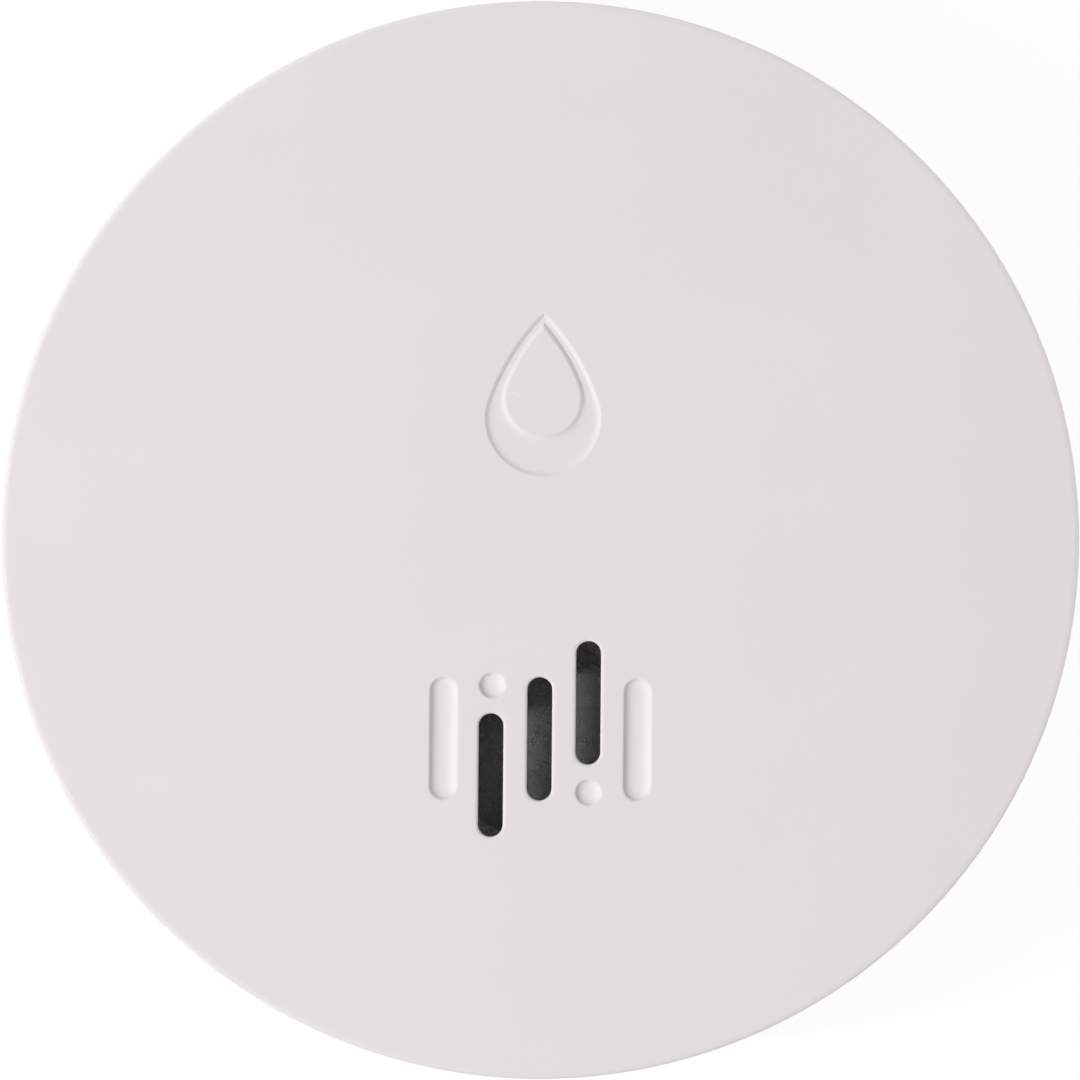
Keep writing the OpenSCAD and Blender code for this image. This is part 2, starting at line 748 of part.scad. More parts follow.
module standoffs() {
    stub_out = 0.7;
    color(brass) for (p = probe_places) translate([p.x, p.y, floor_z]) difference() {
        union() {
            cylinder(d = standoff_d, h = board_z - floor_z);
            cylinder(d = stub_d, h = board_top_z + stub_out - floor_z);
        }
        translate([0, 0, -lap]) cylinder(d = probe_d + 2 * fit, h = board_z - floor_z + lap + fit);
    }
}

// Boards and the parts on them

module board_2d() {
    notch_d = boss_d + 2 * near;
    difference() {
        circle(r = board_r);
        translate([-arm_x, board_edge_y]) square([2 * arm_x, body_r]);
        translate([-body_r, arm_top_y]) square([body_d, body_r]);
        for (p = boss_places) translate(p) circle(d = notch_d);
        for (p = probe_places) translate(p) circle(d = stub_d + 2 * fit);
        for (s = [-1, 1]) translate([s * sounder_pin_pitch / 2, sounder_y])
            circle(d = sounder_pin_d + 2 * fit);
    }
}

module main_board() {
    color(board_green) translate([0, 0, board_z]) linear_extrude(board_t) board_2d();
}

module box_on(place, size, z) {
    translate([place.x - size.x / 2, place.y - size.y / 2, z]) cube(size);
}

module radio_board() {
    color(board_green) box_on(radio_place, [radio_l, radio_w, radio_t], board_top_z);
}

module shield_can() {
    can_z = board_top_z + radio_t;
    room = [can_l - 2 * can_sheet, can_w - 2 * can_sheet, can_h - can_sheet + lap];
    color(steel) difference() {
        box_on(can_place, [can_l, can_w, can_h], can_z);
        box_on(can_place, room, can_z - lap);
    }
}

module controller_chip() {
    color(plain_black) box_on(chip_place, [chip_w, chip_w, chip_h], board_top_z);
}

module crystal() {
    color(steel) box_on(crystal_place, crystal_size, board_top_z);
}

module boost_coil() {
    color(plain_black) translate([coil_place.x, coil_place.y, board_top_z]) {
        cylinder(d = coil_d, h = coil_rim_h);
        cylinder(d = coil_core_d, h = coil_h);
        translate([0, 0, coil_h - coil_rim_h]) cylinder(d = coil_d, h = coil_rim_h);
    }
}

module coil_winding() {
    color(copper) translate([coil_place.x, coil_place.y, board_top_z + coil_rim_h + fit])
        ring(coil_core_d / 2 + fit, coil_d / 2 - winding_inset, coil_h - 2 * coil_rim_h - 2 * fit);
}

module capacitor() {
    color(can_grey) translate([capacitor_place.x, capacitor_place.y, board_top_z]) {
        translate([-capacitor_d / 2, -capacitor_d / 2, 0]) cube([capacitor_d, capacitor_d, capacitor_foot_h]);
        cylinder(r = capacitor_d / 2 - capacitor_inset, h = capacitor_h);
    }
}

module chip_parts() {
    color(ivory) for (i = [0 : chip_part_rows - 1], j = [-0.5, 0.5])
        box_on(
            [crystal_place.x + j * chip_part_pitch.x, chip_part_y - i * chip_part_pitch.y],
            chip_part_size, board_top_z
        );
}

module status_lamp() {
    color(ivory) box_on(lamp_place, lamp_size, board_top_z);
}

module switch_body() {
    bore_h = button_travel + 2 * near;
    color(plain_black) difference() {
        box_on(button_place, [switch_w, switch_w, switch_h], switch_z);
        translate([button_place.x, button_place.y, switch_z - lap])
            cylinder(d = plunger_d + 2 * fit, h = bore_h + lap);
    }
}

module switch_plunger() {
    color(ivory) translate([button_place.x, button_place.y, switch_z - plunger_out])
        cylinder(d = plunger_d, h = plunger_out + near);
}

module test_button() {
    color(seal_grey) translate([button_place.x, button_place.y, foot_gap + button_sink]) {
        cylinder(d = button_d, h = base_t - button_sink + flange_t);
        translate([0, 0, base_t - button_sink]) cylinder(r = flange_r, h = flange_t);
    }
}

// Sounder: a cased disc that stands on the board under the grille

module sounder_case() {
    room_h = sounder_h - sounder_wall;
    color(sounder_black) translate([0, sounder_y, board_top_z]) difference() {
        cylinder(d = sounder_d, h = sounder_h);
        translate([0, 0, -lap]) cylinder(d = sounder_in_d, h = room_h - disc_seat_h + lap);
        cylinder(d = sounder_in_d - 2 * disc_ledge, h = room_h);
        translate([slot_pitch / 2, 0, room_h - lap]) cylinder(d = sound_hole_d, h = sounder_wall + 2 * lap);
    }
}

module sounder_disc() {
    color(brass) translate([0, sounder_y, sounder_top_z - sounder_wall - disc_seat_h - disc_t])
        cylinder(d = sounder_in_d - 2 * fit, h = disc_t);
}

module sounder_plug() {
    color(plain_black) translate([0, sounder_y, board_top_z]) difference() {
        cylinder(d = sounder_in_d - 2 * fit, h = plug_h);
        for (s = [-1, 1]) translate([s * sounder_pin_pitch / 2, 0, -lap])
            cylinder(d = sounder_pin_d + 2 * fit, h = plug_h + 2 * lap);
    }
}

module sounder_pins() {
    pin_l = sounder_pin_below + board_t + sounder_pin_above;
    color(steel) for (s = [-1, 1])
        translate([s * sounder_pin_pitch / 2, sounder_y, board_z - sounder_pin_below])
            cylinder(d = sounder_pin_d, h = pin_l);
}

module sounder_foam() {
    color(plain_black) translate([0, sounder_y, foam_top_z - foam_h])
        ring(sounder_d / 2 + fit, foam_r, foam_h);
}

top_cover();
base();
housing_seal();
housing_screws();
battery_door();
door_seal();
cell_front();
cell_rear();
positive_contact();
negative_contact();
negative_spring();
bridge_contact();
bridge_spring();
probes();
probe_rings();
standoffs();
main_board();
radio_board();
shield_can();
controller_chip();
crystal();
boost_coil();
coil_winding();
capacitor();
chip_parts();
status_lamp();
switch_body();
switch_plunger();
test_button();
sounder_case();
sounder_disc();
sounder_plug();
sounder_pins();
sounder_foam();
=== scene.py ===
"""Looks of the water leak sensor: a white puck with a grille and a drop mark, on four metal probes."""

from __future__ import annotations

import logging
import math
from dataclasses import dataclass, field
from enum import Enum
from typing import Callable, Iterable, Sequence

import bmesh
import bpy
from bmesh.types import BMEdge, BMesh, BMFace, BMVert
from bpy.types import Material, Mesh, Node, NodeSocket, NodeTree, Object, World
from mathutils import Matrix, Vector


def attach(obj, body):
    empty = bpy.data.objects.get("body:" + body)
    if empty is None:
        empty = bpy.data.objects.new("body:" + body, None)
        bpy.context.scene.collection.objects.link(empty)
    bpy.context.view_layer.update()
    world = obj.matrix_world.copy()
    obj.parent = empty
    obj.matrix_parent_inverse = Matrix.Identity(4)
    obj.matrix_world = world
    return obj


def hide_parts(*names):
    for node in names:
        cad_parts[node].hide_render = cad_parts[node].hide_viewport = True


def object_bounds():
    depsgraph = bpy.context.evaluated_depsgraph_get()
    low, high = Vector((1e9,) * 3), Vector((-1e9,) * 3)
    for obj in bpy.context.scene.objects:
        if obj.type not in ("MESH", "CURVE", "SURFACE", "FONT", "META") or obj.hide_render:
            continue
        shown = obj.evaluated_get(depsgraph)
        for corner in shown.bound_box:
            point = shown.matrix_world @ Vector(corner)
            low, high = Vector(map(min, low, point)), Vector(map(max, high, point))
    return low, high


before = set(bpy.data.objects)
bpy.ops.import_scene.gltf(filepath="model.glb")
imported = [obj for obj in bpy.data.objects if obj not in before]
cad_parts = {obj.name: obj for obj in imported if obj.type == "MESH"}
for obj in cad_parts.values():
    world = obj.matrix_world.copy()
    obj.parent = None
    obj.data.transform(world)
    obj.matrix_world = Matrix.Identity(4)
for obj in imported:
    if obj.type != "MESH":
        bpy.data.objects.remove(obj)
CAD_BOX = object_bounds()

MM = 0.001
# Vertices of a drawing that are nearer than this become one
MERGE = 1e-4
# Depth of the middle of a corner that is rounded in two steps, as a share of its size
BEND = 0.3
MIDDLE = (0.0, 0.0)
log = logging.getLogger("leak_sensor")

Tone = tuple[float, float, float]
Sizes = tuple[float, float, float]
Span = tuple[float, float]
Place = tuple[float, float]
Step = tuple[float, float]


class Body(Enum):
    """The moving bodies of the sensor."""

    HOUSING = "housing"
    DOOR = "door"
    BUTTON = "button"
    PLUNGER = "plunger"


class Facing(Enum):
    """The direction that a piece drawn along Z points to, as a turn about Y in degrees."""

    RIGHT = 90.0
    LEFT = -90.0

    def matrix(self) -> Matrix:
        """Returns the turn from Z to this direction."""
        return Matrix.Rotation(math.radians(self.value), 4, "Y")


# Mesh making, in millimetres


@dataclass
class Ring:
    """A closed loop of vertices and the flat outline that it was drawn on."""

    verts: list[BMVert]
    outline: list[Vector]
    outward: list[Vector]

    def edges(self) -> list[BMEdge]:
        """Returns the edges of the loop in order."""
        pairs = zip(self.verts, self.verts[1:] + self.verts[:1])
        return [next(e for e in one.link_edges if e.other_vert(one) is two) for one, two in pairs]


class Pen:
    """Draws one closed outline by extruding and spinning its last vertex."""

    def __init__(self, bm: BMesh, x: float, y: float) -> None:
        """Starts an outline.

        Args:
            bm: The mesh to draw in.
            x: Place of the first corner.
            y: Place of the first corner.
        """
        self.bm = bm
        self.trail: list[BMVert] = [bm.verts.new((x, y, 0.0))]

    def line(self, x: float, y: float, pieces: int = 1) -> Pen:
        """Draws a straight side.

        Args:
            x: Place where the side ends.
            y: Place where the side ends.
            pieces: Number of equal edges in the side.

        Returns:
            The pen itself.
        """
        start, end = self.trail[-1].co.copy(), Vector((x, y, 0.0))
        for i in range(1, pieces + 1):
            fresh = bmesh.ops.extrude_vert_indiv(self.bm, verts=[self.trail[-1]])["verts"][0]
            fresh.co = start.lerp(end, i / pieces)
            self.trail.append(fresh)
        return self

    def turn(self, x: float, y: float, degrees: float, steps: int) -> Pen:
        """Draws an arc.

        Args:
            x: Middle of the arc.
            y: Middle of the arc.
            degrees: Turn, positive to the left.
            steps: Number of edges in the arc.

        Returns:
            The pen itself.
        """
        bmesh.ops.spin(self.bm, geom=[self.trail[-1]], cent=(x, y, 0.0), axis=(0.0, 0.0, 1.0),
                       dvec=(0.0, 0.0, 0.0), angle=math.radians(degrees), steps=steps)
        for _ in range(steps):
            tip, known = self.trail[-1], set(self.trail[-2:])
            near = [e.other_vert(tip) for e in tip.link_edges]
            self.trail.append(next(v for v in near if v not in known))
        return self

    def close(self) -> list[BMVert]:
        """Joins the last vertex to the first.

        Returns:
            All vertices in order.
        """
        first, last = self.trail[0], self.trail[-1]
        if (last.co - first.co).length < MERGE:
            bmesh.ops.pointmerge(self.bm, verts=[first, last], merge_co=first.co)
            self.trail = [v for v in self.trail if v.is_valid]
        else:
            self.bm.edges.new((last, first))
        return self.trail


def rounded(radius: float, wall: Step, steps: int, *, hole: bool = False, up: bool = False) -> list[Step]:
    """Gives the steps of a rounded edge between a flat face and an upright wall.

    Args:
        radius: Radius of the edge.
        wall: Offset of the wall, and height of the flat face.
        steps: Number of steps.
        hole: True where the wall is the inside of a hole in the face.
        up: True where the wall goes up from the face.

    Returns:
        Offset and height of each step, from the face to the wall.
    """
    inward, along = (radius if hole else -radius), (radius if up else -radius)
    angles = [math.pi / 2 * i / steps for i in range(steps + 1)]
    return [(wall[0] + inward * (1 - math.sin(a)), wall[1] + along * (1 - math.cos(a))) for a in angles]


class Workpiece:
    """A mesh in the making."""

    def __init__(self) -> None:
        """Starts an empty mesh."""
        self.bm = bmesh.new()
        self.finish_index = 0

    def pen(self, x: float, y: float) -> Pen:
        """Returns a pen that starts at the given place."""
        return Pen(self.bm, x, y)

    def ring(self, verts: list[BMVert]) -> Ring:
        """Measures the outward directions of a drawn outline.

        Args:
            verts: The vertices in order.

        Returns:
            The ring.
        """
        flat = [Vector((v.co.x, v.co.y)) for v in verts]
        area = sum(a.x * b.y - b.x * a.y for a, b in zip(flat, flat[1:] + flat[:1]))
        side = 1.0 if area > 0 else -1.0
        outward = []
        for before, here, after in zip(flat[-1:] + flat[:-1], flat, flat[1:] + flat[:1]):
            one, two = (here - before).normalized(), (after - here).normalized()
            n1, n2 = Vector((one.y, -one.x)) * side, Vector((two.y, -two.x)) * side
            outward.append((n1 + n2) / max(1.0 + n1.dot(n2), 0.3))
        return Ring(verts, flat, outward)

    def circle(self, place: Place, radius: float, segments: int) -> Ring:
        """Draws a circle.

        Args:
            place: Its middle.
            radius: Its radius.
            segments: Number of edges.

        Returns:
            The ring.
        """
        made = bmesh.ops.create_circle(self.bm, segments=segments, radius=radius,
                                       matrix=Matrix.Translation((place[0], place[1], 0.0)))
        return self.ring(made["verts"])

    def slot(self, place: Place, length: float, width: float, steps: int = 16) -> Ring:
        """Draws an upright slot with round ends.

        Args:
            place: Its middle.
            length: Its length along Y.
            width: Its width.
            steps: Number of edges in each round end.

        Returns:
            The ring.
        """
        (x, y), r, half = place, width / 2, (length - width) / 2
        pen = self.pen(x + r, y - half).line(x + r, y + half, pieces=6).turn(x, y + half, 180, steps)
        pen.line(x - r, y - half, pieces=6).turn(x, y - half, 180, steps)
        return self.ring(pen.close())

    def drop(self, place: Place, radius: float, tip: float, arm: float, steps: int = 72,
             bows: int = 12) -> Ring:
        """Draws a water drop with its tip towards +Y and arms that bulge a little.

        Args:
            place: Middle of its round end.
            radius: Radius of its round end.
            tip: Distance of the tip from that middle.
            arm: Radius of its arms, which run smoothly into the round end.
            steps: Number of edges in the round end.
            bows: Number of edges in each arm.

        Returns:
            The ring.
        """
        (x, y), reach = place, arm - radius
        lean = math.asin((radius - (tip ** 2 - radius ** 2) / (2 * reach)) / tip)
        across, down = reach * math.cos(lean), reach * math.sin(lean)
        sweep = math.degrees(math.pi - lean - math.atan2(tip + down, -across))
        pen = self.pen(x, y + tip).turn(x + across, y - down, sweep, bows)
        pen.turn(x, y, 180 + 2 * math.degrees(lean), steps).turn(x - across, y - down, sweep, bows)
        return self.ring(pen.close())

    def panel(self, low: Place, high: Place, corner: float, steps: int = 10) -> Ring:
        """Draws a rectangle with round corners.

        Args:
            low: Its lowest corner.
            high: Its highest corner.
            corner: Radius of its corners.
            steps: Number of edges in each corner.

        Returns:
            The ring.
        """
        (x0, y0), (x1, y1), r = low, high, corner
        pen = self.pen(x0 + r, y0).line(x1 - r, y0, pieces=4).turn(x1 - r, y0 + r, 90, steps)
        pen.line(x1, y1 - r, pieces=4).turn(x1 - r, y1 - r, 90, steps)
        pen.line(x0 + r, y1, pieces=4).turn(x0 + r, y1 - r, 90, steps)
        pen.line(x0, y0 + r, pieces=4).turn(x0 + r, y0 + r, 90, steps)
        return self.ring(pen.close())

    def put(self, ring: Ring, step: Step) -> Ring:
        """Moves a ring.

        Args:
            ring: The ring.
            step: Offset from its drawn outline, and height.

        Returns:
            The same ring.
        """
        for vert, flat, out in zip(ring.verts, ring.outline, ring.outward):
            spot = flat + out * step[0]
            vert.co = (spot.x, spot.y, step[1])
        return ring

    def paint(self, made: Iterable[object]) -> None:
        """Gives the faces among newly made things the finish that is in use."""
        for face in (g for g in made if isinstance(g, BMFace)):
            face.material_index = self.finish_index

    def grow(self, ring: Ring, step: Step) -> Ring:
        """Extrudes a ring to a new offset and height.

        Args:
            ring: The ring to go on from.
            step: Offset from the drawn outline, and height.

        Returns:
            The new ring.
        """
        known = set(ring.verts)
        made = bmesh.ops.extrude_edge_only(self.bm, edges=ring.edges())["geom"]
        partner = {}
        for vert in (g for g in made if isinstance(g, BMVert)):
            for edge in vert.link_edges:
                if edge.other_vert(vert) in known:
                    partner[edge.other_vert(vert)] = vert
        self.paint(made)
        return self.put(Ring([partner[v] for v in ring.verts], ring.outline, ring.outward), step)

    def chain(self, ring: Ring, steps: Iterable[Step]) -> Ring:
        """Puts a ring at the first step and extrudes it through the others.

        Args:
            ring: The ring to start from.
            steps: Offset from the drawn outline, and height, of each step.

        Returns:
            The last ring.
        """
        first, *others = steps
        self.put(ring, first)
        for step in others:
            ring = self.grow(ring, step)
        return ring

    def fill(self, *rings: Ring) -> None:
        """Closes the flat space between an outer ring and the rings inside it.

        The rings are turned a little meanwhile, because the operator can miss edges that lie along an axis.

        Args:
            rings: The outer ring and the rings of the holes, in any order.
        """
        edges = [e for ring in rings for e in ring.edges()]
        verts = [v for ring in rings for v in ring.verts]
        slant, pivot = Matrix.Rotation(0.37, 3, "Z"), (0.0, 0.0, 0.0)
        bmesh.ops.rotate(self.bm, cent=pivot, matrix=slant, verts=verts)
        made = bmesh.ops.triangle_fill(self.bm, use_beauty=True, edges=edges, normal=(0.0, 0.0, 1.0))
        bmesh.ops.rotate(self.bm, cent=pivot, matrix=slant.inverted(), verts=verts)
        self.paint(made["geom"])

    def part_off(self, ring: Ring, first: int, last: int) -> tuple[Ring, Ring]:
        """Cuts a lobe off a ring with a straight edge.

        Args:
            ring: The ring, at no offset from its outline.
            first: Number of the vertex where the lobe starts.
            last: Number of the vertex where the lobe ends.

        Returns:
            The ring without the lobe, and the ring of the lobe.
        """
        verts = ring.verts
        self.bm.edges.new((verts[first], verts[last]))
        return self.ring(verts[:first + 1] + verts[last:]), self.ring(verts[first:last + 1])

    def turned(self, place: Place, profile: Sequence[Step], segments: int,
               finishes: Sequence[int] = ()) -> None:
        """Turns a closed solid about an upright axis.

        Args:
            place: The axis.
            profile: Radius and height of each corner, from one end cap to the other.
            segments: Number of edges around the axis.
            finishes: Finish number of the first cap and of each step, where there is more than one.
        """
        first, foot = profile[0]
        ring = self.put(self.circle(place, first, segments), (0.0, foot))
        numbers = list(finishes) or [0] * len(profile)
        self.finish_index = numbers[0]
        self.fill(ring)
        for (r, z), number in zip(profile[1:], numbers[1:]):
            self.finish_index = number
            ring = self.grow(ring, (r - first, z))
        self.fill(ring)
        self.finish_index = 0

    def coil(self, wire: float, radii: Span, length: float, turns: float, steps: int) -> None:
        """Winds a tapering spring up the Z axis.

        Args:
            wire: Radius of the wire.
            radii: Radius of the coil at its foot and at its tip.
            length: Distance between the middles of the first and the last turn of wire.
            turns: Number of turns.
            steps: Number of steps in a turn.
        """
        flat_end = 0.16
        ring = self.circle(MIDDLE, wire, segments=10)
        count = round(turns * steps)
        rings = [ring] + [ring := self.grow(ring, (0.0, 0.0)) for _ in range(count)]
        for i, one in enumerate(rings):
            part = i / count
            turn = 2 * math.pi * turns * part
            r = radii[0] + (radii[1] - radii[0]) * part
            rise = length * min(max((part - flat_end) / (1 - 2 * flat_end), 0.0), 1.0)
            for vert, flat in zip(one.verts, one.outline):
                reach = r + flat.x
                vert.co = (reach * math.cos(turn), reach * math.sin(turn), rise + flat.y)
        self.cap(rings[0])
        self.cap(rings[-1])

    def cap(self, ring: Ring) -> None:
        """Closes a ring that stands at a slant."""
        bmesh.ops.contextual_create(self.bm, geom=ring.edges(), mat_nr=self.finish_index,
                                    use_smooth=False)

    def aside(self, draw: Callable[[Workpiece], None], matrix: Matrix) -> None:
        """Draws something apart, moves it and adds it to this mesh.

        Args:
            draw: Draws it in a mesh of its own.
            matrix: Where it goes.
        """
        other = Workpiece()
        draw(other)
        other.move(matrix)
        bmesh.ops.recalc_face_normals(other.bm, faces=other.bm.faces[:])
        passing = bpy.data.meshes.new("passing")
        other.bm.to_mesh(passing)
        other.bm.free()
        self.bm.from_mesh(passing)
        bpy.data.meshes.remove(passing)

    def block(self, low: Vector, high: Vector, edge: float) -> None:
        """Adds a box with rounded edges.

        Args:
            low: Its lowest corner.
            high: Its highest corner.
            edge: Radius of its edges.
        """
        size = high - low
        matrix = Matrix.Translation((low + high) / 2) @ Matrix.Diagonal((size.x, size.y, size.z, 1.0))
        made = bmesh.ops.create_cube(self.bm, size=1.0, matrix=matrix)
        edges = list({e for v in made["verts"] for e in v.link_edges})
        bmesh.ops.bevel(self.bm, geom=edges, offset=edge, offset_type="OFFSET", affect="EDGES",
                        segments=3, profile=0.5, clamp_overlap=True, material=-1)

    def move(self, matrix: Matrix) -> None:
        """Transforms everything drawn so far."""
        bmesh.ops.transform(self.bm, matrix=matrix, verts=self.bm.verts[:])

    def mesh(self, name: str, sharp: float) -> Mesh:
        """Ends the drawing.

        Args:
            name: Name of the mesh.
            sharp: Edges that bend by more than this angle, in degrees, stay sharp.

        Returns:
            The mesh, in metres.
        """
        bmesh.ops.remove_doubles(self.bm, verts=self.bm.verts[:], dist=MERGE)
        bmesh.ops.recalc_face_normals(self.bm, faces=self.bm.faces[:])
        bmesh.ops.scale(self.bm, vec=(MM, MM, MM), verts=self.bm.verts[:])
        mesh = bpy.data.meshes.new(name)
        self.bm.to_mesh(mesh)
        self.bm.free()
        mesh.polygons.foreach_set("use_smooth", [True] * len(mesh.polygons))
        mesh.set_sharp_from_angle(angle=math.radians(sharp))
        return mesh


# Shared surface effects


class Graph:
    """A thin hand on a node tree."""

    def __init__(self, tree: NodeTree) -> None:
        """Keeps the tree that is being drawn."""
        self.tree = tree

    @classmethod
    def emptied(cls, owner: Material | World) -> Graph:
        """Empties the node tree of a material or of the world.

        Args:
            owner: The material or the world.

        Returns:
            A hand on its tree.
        """
        owner.use_nodes = True
        owner.node_tree.nodes.clear()
        return cls(owner.node_tree)

    def feed(self, socket: NodeSocket, value: object) -> None:
        """Fills an input.

        Args:
            socket: The input.
            value: A socket to link it to, or its value.
        """
        if isinstance(value, NodeSocket):
            self.tree.links.new(value, socket)
        else:
            socket.default_value = value

    def into(self, node: Node, **sockets: object) -> None:
        """Fills inputs of a node by name, with _ for a space in the name."""
        for key, value in sockets.items():
            self.feed(node.inputs[key.replace("_", " ")], value)

    def add(self, kind: str, settings: dict[str, object] | None = None, **sockets: object) -> Node:
        """Adds a node.

        Args:
            kind: Class name of the node.
            settings: Properties of the node.
            sockets: Values or sockets for its inputs, with _ for a space in the input's name.

        Returns:
            The node.
        """
        node = self.tree.nodes.new(kind)
        for key, value in (settings or {}).items():
            setattr(node, key, value)
        self.into(node, **sockets)
        return node

    def math(self, operation: str, one: object, two: object = 0.0) -> NodeSocket:
        """Works out a sum.

        Args:
            operation: Name of the operation.
            one: Its first value or socket.
            two: Its second value or socket.

        Returns:
            The result.
        """
        node = self.add("ShaderNodeMath", {"operation": operation})
        for socket, value in zip(node.inputs, (one, two)):
            self.feed(socket, value)
        return node.outputs[0]

    def sum(self, one: object, two: object, shares: Span) -> NodeSocket:
        """Adds up two values, each multiplied by its share."""
        parts = [self.math("MULTIPLY", value, share) for value, share in zip((one, two), shares)]
        return self.math("ADD", *parts)

    def span(self, value: object, low: float, high: float, to: Span = (0.0, 1.0)) -> NodeSocket:
        """Moves a value from one span to another, and holds it inside.

        Args:
            value: The value.
            low: Where the value's own span starts.
            high: Where it ends.
            to: The new span.

        Returns:
            The moved value.
        """
        node = self.add("ShaderNodeMapRange", {"clamp": True}, Value=value, From_Min=low, From_Max=high,
                        To_Min=to[0], To_Max=to[1])
        return node.outputs["Result"]

    def blend(self, factor: object, one: Tone | NodeSocket, two: Tone | NodeSocket) -> NodeSocket:
        """Mixes two colours.

        Args:
            factor: Share of the second colour.
            one: The first colour.
            two: The second colour.

        Returns:
            The mixed colour.
        """
        node = self.add("ShaderNodeMix", {"data_type": "RGBA"})
        self.feed(node.inputs[0], factor)
        # Of this node's sockets, inputs 6 and 7 and output 2 are the ones for colours
        for number, tone in ((6, one), (7, two)):
            self.feed(node.inputs[number], tone if isinstance(tone, NodeSocket) else (*tone, 1.0))
        return node.outputs[2]

    def mix(self, factor: object, one: Node, two: Node) -> Node:
        """Mixes two shaders.

        Args:
            factor: Share of the second shader.
            one: The first shader.
            two: The second shader.

        Returns:
            The node that mixes them.
        """
        node = self.add("ShaderNodeMixShader")
        for socket, value in zip(node.inputs, (factor, one.outputs[0], two.outputs[0])):
            self.feed(socket, value)
        return node

    def noise(self, vector: object, scale: object, detail: float, rough: float) -> NodeSocket:
        """Returns a noise value."""
        node = self.add("ShaderNodeTexNoise", Vector=vector, Scale=scale, Detail=detail, Roughness=rough)
        return node.outputs[0]


class Effect:
    """A surface effect that several finishes share, made into one node group."""

    name: str
    inputs: dict[str, float]
    outputs: tuple[str, ...] = ("Mask",)

    @classmethod
    def group(cls) -> NodeTree:
        """Builds the group on first use.

        Returns:
            The group.
        """
        known = bpy.data.node_groups.get(cls.name)
        if known is not None:
            return known
        tree = bpy.data.node_groups.new(cls.name, "ShaderNodeTree")
        tree.interface.new_socket("Vector", in_out="INPUT", socket_type="NodeSocketVector")
        for key, value in cls.inputs.items():
            socket = tree.interface.new_socket(key, in_out="INPUT", socket_type="NodeSocketFloat")
            socket.default_value = value
        for key in cls.outputs:
            tree.interface.new_socket(key, in_out="OUTPUT", socket_type="NodeSocketFloat")
        g = Graph(tree)
        cls.draw(g, g.add("NodeGroupInput").outputs, g.add("NodeGroupOutput"))
        return tree

    @staticmethod
    def draw(g: Graph, given: bpy.types.NodeOutputs, out: Node) -> None:
        """Draws the nodes of the effect.

        Args:
            g: The group's tree.
            given: What the group is given.
            out: The node that takes what the group gives.
        """
        raise NotImplementedError


class FineGrain(Effect):
    """The fine texture that a spark eroded mould leaves, with slow clouds of tone."""

    name = "fine_grain"
    inputs = {"Scale": 5000.0, "Cloud Scale": 60.0}
    outputs = ("Height", "Clouds")

    @staticmethod
    def draw(g: Graph, given: bpy.types.NodeOutputs, out: Node) -> None:
        """Draws two sizes of pits and one of clouds.

        Args:
            g: The group's tree.
            given: What the group is given.
            out: The node that takes what the group gives.
        """
        vector, scale = given["Vector"], given["Scale"]
        fine = g.noise(vector, scale, detail=2.0, rough=0.6)
        coarse = g.noise(vector, g.math("MULTIPLY", scale, 0.37), detail=2.0, rough=0.5)
        clouds = g.noise(vector, given["Cloud Scale"], detail=3.0, rough=0.55)
        g.into(out, Height=g.sum(fine, coarse, shares=(0.6, 0.4)), Clouds=g.span(clouds, 0.35, 0.65))


class HandlingSmears(Effect):
    """Handling marks: soft patches that shine a little more or less."""

    name = "handling_smears"
    inputs = {"Scale": 40.0}

    @staticmethod
    def draw(g: Graph, given: bpy.types.NodeOutputs, out: Node) -> None:
        """Draws broad patches broken by small ones.

        Args:
            g: The group's tree.
            given: What the group is given.
            out: The node that takes what the group gives.
        """
        vector, scale = given["Vector"], given["Scale"]
        broad = g.noise(vector, scale, detail=4.0, rough=0.6)
        small = g.noise(vector, g.math("MULTIPLY", scale, 7.0), detail=3.0, rough=0.6)
        g.into(out, Mask=g.span(g.sum(broad, small, shares=(0.7, 0.3)), 0.38, 0.64))


class HairScratches(Effect):
    """Hair scratches that run two ways."""

    name = "hair_scratches"
    inputs = {"Scale": 900.0}

    @staticmethod
    def draw(g: Graph, given: bpy.types.NodeOutputs, out: Node) -> None:
        """Draws stretched noise along two directions and keeps its crests.

        Args:
            g: The group's tree.
            given: What the group is given.
            out: The node that takes what the group gives.
        """
        lines = []
        for angle, seed in ((0.5, 3.0), (-0.9, 11.0)):
            turn = g.add("ShaderNodeMapping", Vector=given["Vector"], Rotation=(0.0, 0.0, angle),
                         Location=(seed, seed, 0.0), Scale=(1.0, 0.14, 0.3))
            wave = g.noise(turn.outputs["Vector"], given["Scale"], detail=3.0, rough=0.65)
            lines.append(g.span(wave, 0.58, 0.66))
        g.into(out, Mask=g.math("MAXIMUM", *lines))


class RubbedCreases(Effect):
    """The short, curled creases of a skin that has been rubbed."""

    name = "rubbed_creases"
    inputs = {"Scale": 2000.0}

    @staticmethod
    def draw(g: Graph, given: bpy.types.NodeOutputs, out: Node) -> None:
        """Draws the middle contour of one noise, broken up by a second one.

        Args:
            g: The group's tree.
            given: What the group is given.
            out: The node that takes what the group gives.
        """
        vector, scale = given["Vector"], given["Scale"]
        wave = g.noise(vector, scale, detail=2.0, rough=0.55)
        contour = g.math("ABSOLUTE", g.math("SUBTRACT", wave, 0.5))
        breaks = g.noise(vector, g.math("MULTIPLY", scale, 0.6), detail=2.0, rough=0.5)
        lines = g.span(contour, 0.01, 0.06, to=(1.0, 0.0))
        g.into(out, Mask=g.math("MULTIPLY", lines, g.span(breaks, 0.46, 0.53)))


